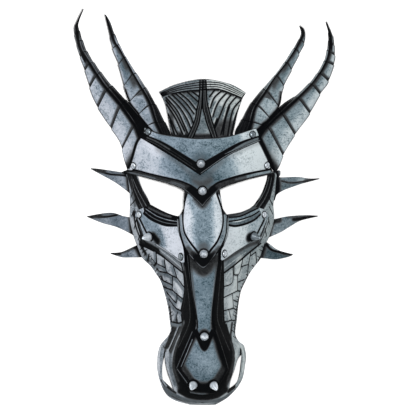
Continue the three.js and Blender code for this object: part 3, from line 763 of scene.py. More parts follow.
JAW_LINES = [
    [(139.5, 244.5), (147, 247.5), (160.4, 254.7), (174.8, 266.2), (182.8, 272.5)],
    [(260.5, 243.6), (250.1, 251.8), (242.1, 258.7), (232.3, 266.7), (222, 274.2)],
]
CHANNEL_LINES = [
    [(180.8, 262), (183.4, 272.5), (184.5, 287.4), (183.4, 298.9), (181.1, 310.4), (182.2, 322)],
    [(223.2, 260), (223.7, 281.7), (223.4, 298.9), (223.7, 310.4), (224.3, 322)],
]
CHANNEL_RIDGES = [
    [(184.5, 266), (187.6, 287.4), (189.5, 305), (190, 318), (187, 329), (178.5, 347)],
    [(221.4, 266), (219.6, 285), (218, 303), (217.4, 318), (222, 332), (229.5, 350)],
]
RAGGED_RIM = [
    [(139, 246), (146.6, 258.5), (153, 266), (158, 274), (162, 284), (165.5, 295), (167.5, 307),
     (169, 320), (170.2, 329), (167.5, 336)],
    [(267, 244), (263.6, 254.5), (258.8, 264), (252.6, 273), (247.6, 280), (242.2, 294), (239.2, 308),
     (237.4, 320), (236.6, 330), (238, 337)],
]
EYE_LINES = [
    [(133, 175.5), (137, 187), (142, 197), (147, 207)],
    [(130.3, 176), (133.5, 188), (138, 200), (142.5, 209)],
    [(270.5, 174), (268, 186), (262.5, 197), (256, 207)],
    [(273, 175), (270.8, 188), (265.5, 201), (260, 209)],
]
EYE_RUBBED = [
    [(133.4, 180), (138, 190.5), (143.4, 200.5), (147, 207)],
    [(131.4, 179), (134.7, 190), (139.4, 200.5), (143, 208)],
    [(269, 177), (266, 188), (261, 198), (255, 206.5)],
    [(271.5, 178), (269, 189), (264, 200), (258.5, 208)],
]
JAW_TOOLED = [
    [(155, 244.3), (168, 253.2), (181, 263.4)],
    [(150, 246), (164, 255.5), (181.5, 269.2)],
]
JAW_RUBBED = [
    [(157, 245), (168, 252), (180, 261.3)],
    [(160, 250), (170, 257.5), (181, 267)],
    [(246, 252), (236, 259), (225, 267.5)],
]


RAGGED_FROM, RAGGED_TO, RAGGED_STEP = 248, 338, 3.1
RAGGED_REACH = 3.9
RAGGED_SWING = 1.6


def ragged_strokes(line, inwards):
    """Short slanting strokes of dye across the rim, uneven in length."""
    strokes = []
    down = np.arange(RAGGED_FROM, RAGGED_TO, RAGGED_STEP)
    for k, (x, y) in enumerate(zip(np.interp(down, *np.array(line).T[::-1]), down)):
        reach = inwards * (RAGGED_REACH + RAGGED_SWING * math.sin(k * 2.4))
        strokes.append(brush([(x + reach, y - 1.5), (x, y + 1.5)], 0.15, 0.7, dye=0.97))
    return strokes


shell_marks = [
    region([[(126, 172)], [(136.5, 175), (142, 188.6), (147, 197.7), (151, 205)], [(140, 212)],
            [(133.5, 199), (129.5, 184)]], 2.2, dye=0.82, tone=0.35),
    region([[(267.5, 174)], [(265.5, 183), (260, 197), (252.5, 206)], [(262, 212)],
            [(270.5, 198), (275, 174)]], 2.2, dye=0.82, tone=0.35),
    region([[(139, 238), (144, 240)], [(153, 242), (164, 248), (178, 258)], [(184, 263)], [(184.5, 274)],
            JAW_LINES[0][::-1][1:]], 1.5, rise=0.4, dye=0.3, tone=0.42),
    region([[(262, 238)], [(251, 242), (236, 252), (223, 260)], [(222, 274.2)],
            [(232.3, 266.7), (242.1, 258.7), (250.1, 251.8), (260, 244)]],
           1.5, rise=0.4, dye=0.25, tone=0.36),
    brush([(258, 242), (246, 246.5), (232, 255), (223, 261)], 0.8, 3, dye=0.6, tone=0.3),
    brush([(141, 242), (150, 246.5), (158, 251)], 1.6, 3.5, dye=0.88),
    brush([(134.5, 214), (137.5, 227), (143, 240)], 2.8, 2.5, dye=0.82, tone=0.15),
    brush([(131, 178), (133, 190)], 1.5, 3, dye=0.7, tone=0.3),
    brush([(135.5, 218), (137, 226), (140, 235)], 0.3, 1.0, dye=0.2, tone=0.8),
    brush([(133.3, 217), (135.2, 228), (140, 240)], 0.2, 0.8, dye=0.3, tone=0.7),
    brush([(132, 192), (135, 205)], 1, 3, dye=0.45, tone=0.35),
    brush([(266, 220), (262, 233), (257, 242)], 0.8, 2, dye=0.68, tone=0.3),
    brush([(268, 222), (264.5, 234), (260, 242)], 0.3, 0.9, dye=0.2, tone=0.7),
    brush([(180, 268), (174, 264)], 1, 3, dye=0.35, tone=0.6),
    brush([(222.5, 262), (222.8, 274)], 1, 3, dye=0.1, tone=0.75),
    brush([(176, 281), (180, 292), (179, 305)], 1, 6, tone=0.95),
    brush([(170, 262), (176, 270)], 1, 5, tone=0.45),
    brush([(240, 262), (236, 283), (231, 300), (230, 314)], 3, 7, tone=0.95),
    brush([(226, 276), (232, 272), (244, 262)], 0.5, 3.5, tone=0.7),
    region([[(181, 246), (183.5, 262), (184.2, 274), (185, 287), (184, 299), (181.6, 310)], [(182.4, 330)],
            [(193, 332), (205, 332), (216, 332)], [(225, 332)],
            [(223.4, 299), (223.4, 274), (223, 262), (226, 246)]], 2, dye=0.97, tone=0.2),
    brush([(141, 205), (146, 214)], 1.5, 3, dye=0.7),
    brush([(147, 203), (151, 206), (161, 211), (169.5, 214.6), (179, 217.5)], 1.5, 1.5, dye=0.85, tone=0.3),
    brush([(225, 217), (229, 215.6), (240.5, 213.5), (249, 210), (256, 205)], 1.5, 1.2, dye=0.62, tone=0.3),
    *brushes([[(182.5, 214), (185, 208), (186.2, 198), (187, 190)],
              [(224.5, 213), (221, 205), (219.8, 198), (218.6, 188)]], 1.6, 1.2, dye=0.8, tone=0.4),
    brush([(176, 322), (173, 333), (168, 344)], 4.4, 3, dye=0.76, tone=0.3),
    brush([(232, 324), (230.5, 338), (231, 350)], 1.5, 3, dye=0.7, tone=0.25),
    brush([(167, 345), (161, 356), (161, 372), (166, 386)], 4, 6, tone=0.44),
    brush([(237, 346), (243, 356), (242, 372), (236, 386)], 4, 6, tone=0.56),
    *brushes([[(178, 366), (181, 384), (190, 394)], [(229, 366), (225, 382), (216, 394)]],
             4, 7, dye=0.72, tone=0.2),
    region([[(216.5, 321)], [(226, 321)], [(235.5, 355), (232, 371)], [(226, 371)]], 3, dye=0.97, tone=0.2),
    region([[(184, 322)],
            [(179.5, 336), (175, 350), (172.5, 368), (179, 382), (190, 396), (203, 399), (216, 396),
             (225, 384), (232, 369)],
            [(225, 340)], [(216, 322)]], 7, dye=0.98),
    brush([(178, 377), (184, 389), (192, 396), (203, 398), (214, 396), (224, 387)], 0, 7, dye=0.9),
    brush([(228, 345), (231, 360), (230, 375)], 1, 6, dye=0.9),
    brush([(184, 322), (178.5, 334), (173.6, 345), (170.5, 356)], 0.5, 3.4, dye=0.4, tone=0.34),
    *brushes([[(179, 340), (175, 352), (174, 366), (178, 380)],
              [(231, 342), (233.5, 352), (232.5, 366), (228, 380)]], 0.5, 4.5, dye=0.7),
    brush([(170.5, 354), (170.5, 368), (175, 384)], 1.4, 3.0, dye=0.3, tone=0.32),
    brush([(168.2, 350), (167.6, 360), (169, 368)], 0.4, 1.8, dye=0.1, tone=0.56),
    brush([(238, 345), (236, 356)], 1.2, 3.5, dye=0.0, tone=0.8),
    brush([(182, 325), (176, 338), (171, 350)], 2.4, 3, dye=0.63, tone=0.2),
    brush([(180.5, 324), (174.5, 338), (169.4, 350)], 0.4, 1.4, dye=0.9),
    brush([(160.3, 346), (158.8, 357), (159, 372)], 1.0, 2.4, dye=0.0, tone=0.88),
    brush([(160, 376), (164.5, 386), (173, 395)], 1.0, 2.4, dye=0.1, tone=0.5),
    brush([(241, 345), (244, 357), (243, 371)], 1.2, 2.8, dye=0.0, tone=0.98),
    brush([(242, 374), (237.5, 384), (230, 393)], 1.0, 2.4, dye=0.0, tone=0.6),
    brush([(165.4, 348), (163.8, 358), (163.2, 370), (165, 381), (173, 390)], 1.0, 1.2, dye=0.98),
    brush([(240.8, 350), (240.4, 363), (239, 374), (235.5, 383), (229.5, 389)], 1.4, 1.2, dye=0.98),
    *brushes([[(168, 387.5), (175, 393)], [(234.5, 387), (228.5, 391.5)]], 1.6, 2.4, dye=0.9),
    brush([(160.8, 380), (165, 386.5), (172.5, 393)], 0.4, 1.6, dye=0.75),
    brush([(241.5, 381), (237, 388), (230.5, 394)], 0.6, 1.6, dye=0.8),
    brush([(164.8, 381.5), (168.5, 385.8), (173.5, 390.4)], 0.1, 0.5, dye=0.3, tone=0.6),
    brush([(163.5, 346), (166, 351)], 0.4, 1.6, dye=0.6),
    brush([(164, 390), (181, 399), (203, 401.5), (222, 399.5), (239, 389)], 4, 3, dye=0.35, tone=0.22),
    brush([(180, 391), (190, 396), (203, 398), (216, 396), (226, 390)], 1.5, 6, dye=0.9),
    brush([(172, 396), (186, 402.5), (203, 404.5), (218, 403)], 0.2, 2, dye=0.6),
    brush([(202.2, 402.6)], 0.7, 1.1, dye=0.97),
    region([[(184.7, 189)], [(178, 217), (183, 250), (204, 270), (222, 250)], [(228, 217)], [(220, 189)]],
           2, dye=0.94),
    brush(np.array(RAGGED_RIM[0]) + (2.2, 0), 1.2, 2.6, dye=0.8, tone=0.3),
    brush(np.array(RAGGED_RIM[1]) - (2.2, 0), 0.6, 1.6, dye=0.8, tone=0.3),
    *ragged_strokes(RAGGED_RIM[0], 1),
    *ragged_strokes(RAGGED_RIM[1], -1),
    *brushes(CHANNEL_RIDGES, 0.3, 1.0, dye=0.63, tone=0.4),
    brush(np.array(CHANNEL_LINES[0]) + (1.6, 0), 0.1, 0.7, dye=0.7, tone=0.4),
    brush(np.array(CHANNEL_LINES[1]) - (1.6, 0), 0.1, 0.7, dye=0.7, tone=0.4),
    *cuts(CHANNEL_LINES + JAW_LINES, 0.7, 0.9, 0.5),
    *brushes(SCALES_LEFT, 0.8, 3.0, dye=0.22, tone=0.28, shift=(-1.2, 1.8)),
    *brushes(SCALES_RIGHT, 0.1, 1.4, dye=0.12, tone=0.6, shift=(1.0, 1.0)),
    *cuts(SCALES_LEFT, 0.5, 0.7, 0.65),
    *cuts(SCALES_RIGHT, 0.32, 0.65, 0.6),
    *cuts(STRIP_LINES, 0.3, 0.7, 0.4, dye=0.9),
    *cuts(EYE_LINES, 0.2, 0.6, 0.4),
    *brushes(EYE_RUBBED, 0.2, 0.6, dye=0.42, tone=0.6),
    *cuts(JAW_TOOLED, 0.12, 0.4, 0.2, dye=0.75),
    *brushes(JAW_RUBBED, 0.25, 0.7, dye=0.1, tone=0.72),
]
shell_piece = leather(
    "face_shell", [shell_loop, eye_left, eye_right, nostril_left, nostril_right], shell_marks, shell_paint,
    bottom=lambda p: -LEATHER, thick=LEATHER, spacing=0.0011, edge=0.0012, tone=0.62,
    floor=lambda p: rim_level(p[:, 1]))
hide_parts("mask_base")

# Brow plates: two pieces of thinner leather, each cut to a V. The lower one runs up under the upper
# one, and both are riveted through the shell at their ends and pinned by a cone stud at the point.
plate_paint = painted_leather(
    "plate_paint", (0.042, 0.075, 0.098, 1), (0.205, 0.262, 0.31, 1), (0.52, 0.56, 0.61, 1))
BRIDGE_TOP = (170, 180)
BRIDGE_SIDE = (28, 38)


def brow_lift(p):
    """The point of the brow rises over the top of the bridge plate."""
    from_ridge = np.abs(p[:, 0] / PITCH + CENTRE[0] - RIDGE_X)
    return PLATE_STEP * smooth(*BRIDGE_TOP, step_down(p[:, 1])) * fade(*BRIDGE_SIDE, from_ridge)


def lower_brow_under(p):
    return GAP + brow_lift(p)


def upper_brow_under(p):
    return lower_brow_under(p) + PLATE_STEP


BROW_LOWER = [
    [(141, 136.9), (136.8, 143.6), (132.5, 158.3), (129, 168)],
    [(124, 171.5)],
    [(127.6, 173.2), (155.2, 180.1), (169.5, 184.1), (182.7, 189.3), (195.4, 200.2)],
    [(202.4, 207.5), (208.6, 200.2), (221.2, 188.7), (245.9, 180.1)],
    [(268.3, 174.9)],
    [(272.3, 170.9), (269.5, 162.2), (263.3, 148.8)],
    [(258.6, 139)],
    [(253, 131.5), (229, 138.2), (203.6, 140.4), (187.5, 139.8), (160.5, 136)],
    [(147, 130.2)],
]
LOWER_BAND_LEFT = [(126, 170.4), (131, 171), (136.2, 170.3), (149.4, 173.8), (163.8, 177.2), (177, 180.1),
                   (183.9, 182.4), (191.3, 185.8), (197.7, 190.4)]
LOWER_BAND_RIGHT = [(209.2, 189.8), (214.9, 184.7), (220.1, 181.8), (232.1, 177.8), (245.9, 174.1),
                    (260.3, 171.2), (268.9, 169.5), (272.3, 167.5)]
lower_brow_marks = [
    # Painted light on the ends, which face out to the sides, and painted shade over the middle.
    brush([(134, 146), (150, 168)], 6, 14, tone=0.72),
    brush([(176, 166), (203, 182), (222, 170)], 4, 30, tone=0.25),
    brush([(250, 152), (257, 160)], 5, 25, tone=1.02),
    # Painted shadow under the point and along the lower edge of the upper brow plate.
    brush([(203, 183)], 6, 18, dye=0.12, tone=0.05),
    brush([(197, 180), (202.5, 184), (208, 180)], 1.5, 9, dye=0.55),
    brush([(157.3, 149), (177.6, 162), (200.1, 178), (222, 162)], 0, 7, dye=0.35),
    brush([(225, 160), (244.1, 150), (262, 142)], 0, 5, dye=0.22),
    region([LOWER_BAND_LEFT, [(197.7, 190.4), (203, 193)], LOWER_BAND_RIGHT, [(275, 171)],
            [(268.3, 176), (246, 181.5), (221.2, 190), (208.6, 201.5)], [(202.4, 209), (195.4, 201.5)],
            [(182.7, 190.5), (169.5, 185.3), (127.6, 174.5)], [(123, 172)]], 0.8, dye=0.72, tone=0.3),
    brush([(130, 172.6), (142, 175.2), (155, 178.4)], 0.3, 1.3, dye=0.45, tone=0.45),
    brush([(171, 182.2), (178, 184), (184, 186.6)], 0.3, 1.6, dye=0.5, tone=0.2),
    brush([(270, 171.6), (258, 174), (246, 177)], 0.9, 1.2, dye=0.2, tone=0.55),
    brush([(246, 177), (236, 179.6)], 0.6, 1.4, dye=0.5, tone=0.4),
    brush([(191, 191), (202.5, 199.5), (213, 190.5)], 2.5, 5, dye=0.97),
    cut(LOWER_BAND_LEFT, 0.6, 0.8, 0.5),
    cut(LOWER_BAND_RIGHT, 0.7, 0.8, 0.5),
    *brushes([[(128, 172.3), (155.2, 179), (169.5, 183), (182.7, 188), (195.4, 198.6), (202.4, 205.6)],
              [(202.4, 205.6), (208.6, 198.4), (221.2, 187.2)]], 0.15, 0.5, dye=0.5, tone=0.5),
    *brushes([[(133.6, 165.9)], [(267, 165.3)]], 3.7, 0.9, dye=0.95),
    brush([(202.5, 190.5)], 4.6, 1.8, dye=0.97),
    brush([(141, 136.9), (136.8, 143.6), (132.5, 158.3), (129, 168)], 0.5, 1.4, dye=0.9),
    brush([(272.3, 170.9), (269.5, 162.2), (263.3, 148.8), (258.6, 139)], 0.7, 2, dye=0.95),
]
lower_brow = leather("brow_plate_lower_leather", [outline(BROW_LOWER)], lower_brow_marks, plate_paint,
                     bottom=lower_brow_under, tone=0.92)
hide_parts("brow_plate_lower")

BROW_UPPER = [
    [(144.8, 127.1), (160.5, 133.7), (187.5, 137.6), (203.6, 138.3), (229, 136), (249.5, 130.3)],
    [(255.6, 127.7), (258, 133.5)],
    [(260.8, 141.1), (244.1, 148.3), (225, 157.9)],
    [(200.1, 175.4), (177.6, 160.6), (157.3, 148)],
    [(138.6, 136.9)],
]
UPPER_BAND_LEFT = [(141.5, 133.6), (150.2, 137.3), (159.1, 140.9), (168, 145.4), (180, 152.9),
                   (197, 163.6)]
UPPER_BAND_RIGHT = [(204.5, 162.4), (225, 150.7), (234.6, 145.4), (244.1, 141.1), (251.8, 138.7),
                    (259.5, 136.3)]
upper_brow_marks = [
    # Painted shade over the middle and painted light towards the right end.
    brush([(172, 144), (203, 152), (228, 144)], 8, 22, tone=0.31),
    brush([(248, 133)], 3, 12, tone=0.85),
    brush([(200.5, 160)], 3, 13, dye=0.3, tone=0.0),
    region([UPPER_BAND_LEFT, UPPER_BAND_RIGHT, [(262, 141.5), (244.1, 149.8), (225, 159.4)],
            [(200.1, 177.4), (177.6, 162), (157.3, 149.4)], [(136, 137)]], 0.8, dye=0.95, tone=0.3),
    brush([(236, 148.6), (246, 143.6), (257.5, 139)], 0.8, 1.2, dye=0.45, tone=0.4),
    *brushes([[(226 + lift * 2, 153.5 - lift), (244, 145.6 - lift), (258, 140.2 - lift)]
              for lift in (-0.6, 0.9, 2.3)], 0.1, 0.5, dye=0.4, tone=0.5),
    brush([(190, 166), (200.5, 173), (211, 166)], 1.5, 2.5, dye=0.98),
    brush([(144, 136.4), (152, 139.6), (160, 143.6), (170, 149.8)], 0.5, 0.9, dye=0.6, tone=0.4),
    brush([(170, 149.8), (182, 157.5), (192, 164.5)], 0.15, 0.7, dye=0.75, tone=0.4),
    brush([(146, 139.6), (157.3, 144.9), (177.6, 157.6), (196, 170)], 0.1, 0.5, dye=0.6, tone=0.6),
    brush([(201, 173.2), (225, 156.6), (244.1, 147.2), (259.5, 140.5)], 0.12, 0.5, dye=0.35, tone=0.7),
    brush([(142.5, 129.5), (142, 134), (144.5, 136)], 2.2, 1.5, dye=0.98),
    brush([(258.5, 128), (260, 134)], 1.2, 1.4, dye=0.97),
    *cuts([UPPER_BAND_LEFT, UPPER_BAND_RIGHT], 0.5, 0.8, 0.5),
    *brushes([[(148.2, 132)], [(252.5, 134.6)]], 3.8, 0.9, dye=0.95),
    brush([(201, 164)], 4.9, 1.4, dye=0.98),
    brush([(144.8, 127.1), (160.5, 133.7), (187.5, 137.6), (203.6, 138.3), (229, 136), (255.6, 127.7)],
          0.4, 1.4, dye=0.8),
]
upper_brow = leather("brow_plate_upper_leather", [outline(BROW_UPPER)], upper_brow_marks, plate_paint,
                     bottom=upper_brow_under, tone=0.68)
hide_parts("brow_plate_upper")

# Nose plates: three narrow pieces of leather down the middle, the bridge, the snout and the nose
# tip. Bridge and snout are pressed up in the middle over a bevelled border. The point of each lies
# over the head of the next, and a cone stud holds it there.
PANEL_RISE = 0.8
SNOUT_TOP = (230, 241)
TIP_TOP = (311, 321)


def bridge_under(p):
    """The point of the bridge rises over the top of the snout plate."""
    return GAP + PLATE_STEP * smooth(*SNOUT_TOP, step_down(p[:, 1]))


def snout_under(p):
    """The point of the snout plate rises over the top of the nose tip."""
    return GAP + PLATE_STEP * smooth(*TIP_TOP, step_down(p[:, 1]))


BRIDGE = [
    [(184.7, 191), (183.9, 200.2), (183.3, 208.8)],
    [(178.4, 217.4), (179.9, 231.7), (185.1, 248.4), (192, 258.7)],
    [(203.5, 269.3), (216.8, 254.1), (222.6, 244.3), (226.6, 232.9)],
    [(227.5, 217.4), (223, 208.8), (221.2, 200.2)],
    [(219.9, 190.2)],
    [(217.5, 187)],
    [(187, 187)],
]
BRIDGE_PANEL = [
    [(186.7, 194.4), (184.5, 203), (182.9, 218), (184, 230), (187.4, 238), (193.1, 246.1), (203.5, 259)],
    [(203.5, 259), (211.6, 248.9), (218, 239.8), (222.6, 226), (222.4, 211.7), (216.8, 193.3)],
]
bridge_marks = [
    brush([(190, 193), (180, 217), (183, 236), (192, 255)], 2.4, 1.5, dye=0.3, tone=0.5),
    brush([(217, 193), (225.5, 217), (221, 240), (213, 255)], 2.4, 1.5, dye=0.25, tone=0.55),
    *brushes([[(186, 189), (184.4, 202), (182, 212)], [(218.5, 189), (221.4, 202), (224.5, 212)]],
             2.2, 1.5, dye=0.72, tone=0.35),
    *brushes([[(188, 249), (203.5, 264)], [(219, 249), (203.5, 264)]], 1.4, 4.4, dye=0.58, tone=0.3),
    brush([(193.5, 254.5), (203.5, 264), (213.5, 254.5)], 1.2, 4.4, dye=0.82),
    # The raised panel is painted pale, its sides as painted highlights either side of a darker middle.
    region(BRIDGE_PANEL, 1.6, rise=PANEL_RISE, dye=0.0, tone=0.88),
    brush([(203, 200), (203.5, 240)], 5, 12, tone=0.3),
    brush([(191, 196), (196, 206)], 2, 8, tone=0.45),
    brush([(203.5, 248)], 3, 9, dye=0.45, tone=0.1),
    brush([(197.5, 257.5), (203.5, 263), (209.5, 257.5)], 1.8, 4.6, dye=0.95),
    brush([(195, 199.5), (202.5, 207), (209, 199.5)], 0.5, 5, dye=0.55),
    *cuts(BRIDGE_PANEL, 0.75, 0.8, 0.3),
    *brushes([[(184, 190), (183.2, 208.8)], [(220.4, 190), (223.4, 208.8)]], 0.5, 0.8, dye=0.95),
    *brushes([[(178.8, 217.4), (180, 231.7), (185.3, 248.2), (192.2, 258.4)],
              [(227.2, 217.4), (226.2, 232.9), (222.3, 244.1), (216.6, 253.9)]], 0.7, 0.8, dye=0.95),
    brush([(203.8, 253.7)], 5, 1.8, dye=0.97),
    brush([(189.2, 254), (203.5, 266.9), (215.5, 253.5)], 0.15, 0.5, dye=0.45, tone=0.6),
    brush([(193.5, 260), (203.5, 268.9), (214, 257.3)], 0.5, 0.8, dye=0.95),
]
bridge = leather("nose_bridge_leather", [outline(BRIDGE)], bridge_marks, plate_paint,
                 bottom=bridge_under, tone=0.6,
                 covers=[(outline(BROW_LOWER), lambda p: lower_brow_under(p) - GAP)])
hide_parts("nose_bridge_plate")

SNOUT = [
    [(186.2, 248.9), (189.7, 277.6), (194.9, 310.4), (196, 320)],
    [(193, 332)],
    [(204.5, 349.3)],
    [(214.3, 332.8)],
    [(211.6, 320), (212.2, 307.5), (215.7, 278.8)],
    [(219.6, 248.9)],
]
SNOUT_PANEL = [
    [(188.4, 252), (192.2, 290), (197.2, 320), (197, 329.5)],
    [(197, 329.5), (204.4, 342), (211.6, 329.5)],
    [(211.6, 329.5), (210.8, 320), (212.8, 290), (217, 252)],
]
snout_marks = [
    brush([(187.6, 252), (190.4, 279)], 1.4, 1.2, dye=0.92, tone=0.3),
    brush([(190.2, 278), (194.6, 305), (196.2, 322)], 0.5, 1.3, dye=0.92, tone=0.3),
    brush([(218.8, 252), (215.8, 279), (212.6, 308), (212, 322)], 0.6, 1.3, dye=0.92, tone=0.3),
    region(SNOUT_PANEL + [[(217, 252)]], 1.4, rise=PANEL_RISE, dye=0.0, tone=0.2),
    brush([(190.6, 262), (195.6, 308), (196.8, 328)], 0, 2.8, dye=0.5),
    brush([(217, 262), (212.6, 308), (211.4, 328)], 0, 3.4, dye=0.55),
    # Painted shadow on the snout plate below the bridge's point.
    brush([(191, 259), (203.5, 271.5), (214.5, 258)], 1.5, 9, dye=0.75),
    brush([(204.4, 334)], 4, 4.5, dye=0.8),
    brush([(194.5, 331.5), (204.5, 346), (213, 332)], 2.4, 2.2, dye=0.97),
    *brushes([[(194.8, 323), (193.4, 331)], [(212.8, 323), (214, 331)]], 1.4, 1.2, dye=0.95),
    *cuts(SNOUT_PANEL[:2], 0.35, 0.7, 0.3),
    *brushes([[(187.2, 256), (190, 279), (194.9, 311), (196, 320)],
              [(218.8, 256), (215.4, 279), (212, 308), (211.8, 320)]], 0.1, 0.6, dye=0.5, tone=0.5),
    brush([(204.4, 336.2)], 5, 1.8, dye=0.98),
]
snout = leather("snout_leather", [outline(SNOUT)], snout_marks, plate_paint, bottom=snout_under, tone=0.45,
                covers=[(outline(BRIDGE), lambda p: bridge_under(p) - GAP)])
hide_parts("snout_plate")

NOSE_TIP = [
    [(193.5, 326.7)], [(175.4, 368.3)], [(186.2, 383.7)],
    [(190.2, 392.6), (202, 394.2)], [(214.3, 393.2)], [(229, 368.9)], [(215.6, 325.4)],
]
tip_marks = [
    brush([(197, 345), (204, 365), (211, 350)], 5, 14, tone=0.28),
    brush([(194, 329), (178.5, 368), (187, 381)], 4, 7, dye=0.93),
    brush([(214.5, 328), (222, 350), (226, 369), (214, 391)], 4.4, 8, dye=0.93),
    brush([(186, 385), (203, 388), (218, 386)], 4, 9, dye=0.93),
    brush([(195, 330), (204.4, 349.4), (213.8, 330)], 0.6, 2.4, dye=0.92),
    *brushes([[(184.5, 368), (192, 380)], [(223, 369), (215.5, 381)]], 0.5, 6, dye=0.72),
    *cuts([[(191.5, 338), (179.8, 366.5)], [(194.8, 334), (182.5, 366)]], 0.2, 0.6, 0.3),
    brush([(192.5, 339), (181.3, 366)], 0.15, 0.7, dye=0.3, tone=0.7),
    brush([(192.3, 331.5), (176.8, 367.5)], 0.15, 0.6, dye=0.4, tone=0.6),
    brush([(177.3, 368.8), (187.2, 382.5)], 0.15, 0.8, dye=0.4, tone=0.6),
    cut([(181, 369), (189, 380)], 0.2, 0.6, 0.3),
    brush([(216, 330), (224.5, 355), (228, 368)], 0.15, 0.6, dye=0.6, tone=0.5),
    *brushes([[(193.6, 384)], [(213.3, 384.2)]], 5.6, 2, dye=0.98),
]
nose_tip = leather("nose_tip_leather", [outline(NOSE_TIP)], tip_marks, plate_paint, tone=0.2)
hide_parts("nose_tip_plate")

# Cheek plates: a piece of leather under each eye, tooled with three bands that follow the eye's
# lower edge, and held by two rivets and a long cone stud.
CHEEKS = {
    "left": [
        [(137.5, 221), (135.3, 215.5), (137.5, 210.6)],
        [(145.8, 206.6)],
        [(148.6, 205.2), (160.6, 211), (169.3, 214.9)],
        [(177.2, 217.6), (178.4, 231), (183.4, 248)],
        [(184.6, 262), (181.7, 262.7)],
        [(177.6, 258.1), (162.1, 247.2), (153, 242.1)],
        [(146.5, 240.5), (143.8, 236.5)],
    ],
    "right": [
        [(266.3, 221), (268.4, 215.5), (266.3, 210.4)],
        [(258.4, 207.4)],
        [(254, 206.3), (240.6, 213.2)],
        [(228.6, 216.6), (228, 232.9), (224, 244.8), (221.4, 250)],
        [(220.8, 259.6), (223.7, 259.8)],
        [(235.2, 251.8), (251.5, 241.8)],
        [(256.2, 240.2), (259.3, 236.5)],
    ],
}
LOWEST_BANDS = {
    "left": [(143.7, 213.4), (150.6, 219.1), (158, 222.6), (166.7, 225.4), (178.7, 225.4)],
    "right": [(228.1, 224.9), (235.6, 226), (245.9, 223.7), (254.5, 219.7), (260.3, 214.5)],
}
CHEEK_SHADES = {
    "left": [
        # Painted light: paler towards the nose.
        brush([(170, 236), (177, 250)], 6, 12, tone=0.95),
        brush([(146, 220), (156, 232), (160, 241)], 3, 10, tone=0.4),
        brush([(153.5, 236), (157.5, 241)], 1.5, 6, dye=0.9, tone=0.2),
        brush([(137, 220), (142, 236)], 2.4, 1.5, dye=0.72, tone=0.15),
        brush([(138, 219), (144.6, 233)], 0.2, 0.9, dye=0.2, tone=0.7),
        brush([(139.8, 219), (146.5, 232.5)], 0.9, 1.2, dye=0.97),
        brush([(146, 209), (156, 214.5), (166, 217.8), (179, 218.5)], 3.2, 1.2, dye=0.94),
        brush([(145.5, 213), (155, 218.8), (166, 222.9), (179, 223.4)], 2.6, 1, dye=0.94),
        brush([(147.5, 206), (154, 209), (161, 212.5), (170, 216)], 1.8, 1, dye=0.8, tone=0.3),
        brush([(149, 208), (155, 211), (163, 214.8), (171, 216.8)], 0.4, 1.4, dye=0.58, tone=0.3),
        brush([(145.8, 208.9), (150.4, 211.9), (157.5, 216.3), (168, 219.9), (178, 221.4)],
              0.15, 0.6, dye=0.2, tone=0.55),
        brush([(145.4, 212), (152, 217.3), (160, 221), (169, 223.4), (178, 224.1)],
              0.1, 0.6, dye=0.35, tone=0.5),
    ],
    "right": [
        # Painted light: paler towards the nose.
        brush([(240, 230), (230, 246)], 8, 12, tone=0.98),
        brush([(258, 222), (252, 228)], 3, 9, tone=0.6),
        brush([(249.5, 237.5)], 2.5, 6, dye=0.9),
        brush([(264, 220), (257.5, 233)], 0.8, 1.4, dye=0.95),
        brush([(227.5, 216.2), (240, 214), (250, 210), (257.5, 206.5)], 1.6, 1, dye=0.5, tone=0.25),
        brush([(228, 219.3), (240, 217.9), (250.5, 213.8), (258.5, 209.6)], 1.6, 0.8, dye=0.15, tone=0.42),
        brush([(228, 223.6), (237, 224), (246, 221.4), (254, 217), (259.7, 212.8)],
              1.8, 0.8, dye=0.3, tone=0.32),
        *cuts([[(228.7, 217.4), (240.2, 216.3), (251.7, 211.1), (258, 208.2)],
               [(228.7, 221.4), (240.2, 219.7), (251.7, 215.7), (259.1, 211.1)]], 0.45, 0.7, 0.55),
    ],
}
CHEEK_STUDS = {"left": (149.6, 236.6), "right": (253.2, 236.2)}
CHEEK_RIVETS = {"left": [(139.2, 214.6), (180.9, 256.6)], "right": [(264.2, 214.6), (224.6, 253.5)]}
for side, corners in CHEEKS.items():
    marks = [
        *CHEEK_SHADES[side],
        cut(LOWEST_BANDS[side], 0.8, 0.8, 0.6),
        brush([CHEEK_STUDS[side]], 4.9, 2, dye=0.97),
        *brushes([[seat] for seat in CHEEK_RIVETS[side]], 4.1, 0.8, dye=0.95),
    ]
    cheek = leather("cheek_leather_" + side, [outline(corners)], marks, plate_paint, tone=0.72)
    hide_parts("cheek_plate_" + side)

# Crest fan: a sheet of leather that carries on the curve of the forehead between the horns, tucked
# under the shell, with a lined band along its top, a rib that parts into two legs, and combed strands.
crest_paint = painted_leather(
    "crest_paint", (0.022, 0.032, 0.038, 1), (0.12, 0.148, 0.165, 1), (0.44, 0.47, 0.48, 1))
FAN = [
    [(171.6, 136), (169.4, 123.6), (165.7, 105.5), (161.6, 96.2)],
    [(159, 92.4), (176.8, 84.4), (203.6, 79.3), (230.4, 84.4)],
    [(245.8, 93.1)],
    [(242.4, 98.6), (238.1, 111.5), (234.4, 127.6)],
    [(232.4, 137)],
    [(230, 146), (203, 150)],
    [(174, 146)],
]
FAN_TOP = [(159, 92.4), (176.8, 84.4), (190.2, 81.4), (203.6, 79.4), (220.3, 80.7), (230.4, 84.4),
           (245.8, 93.1)]
FAN_BAND = [(161.7, 95.8), (178.8, 92.4), (190.2, 90.8), (199.6, 90.4), (208.9, 88.8), (217, 89.1),
            (227, 91.8), (235.7, 95.1), (243.1, 98.5)]
FAN_MIDDLE = 204
BAND_SLOPE = 0.08
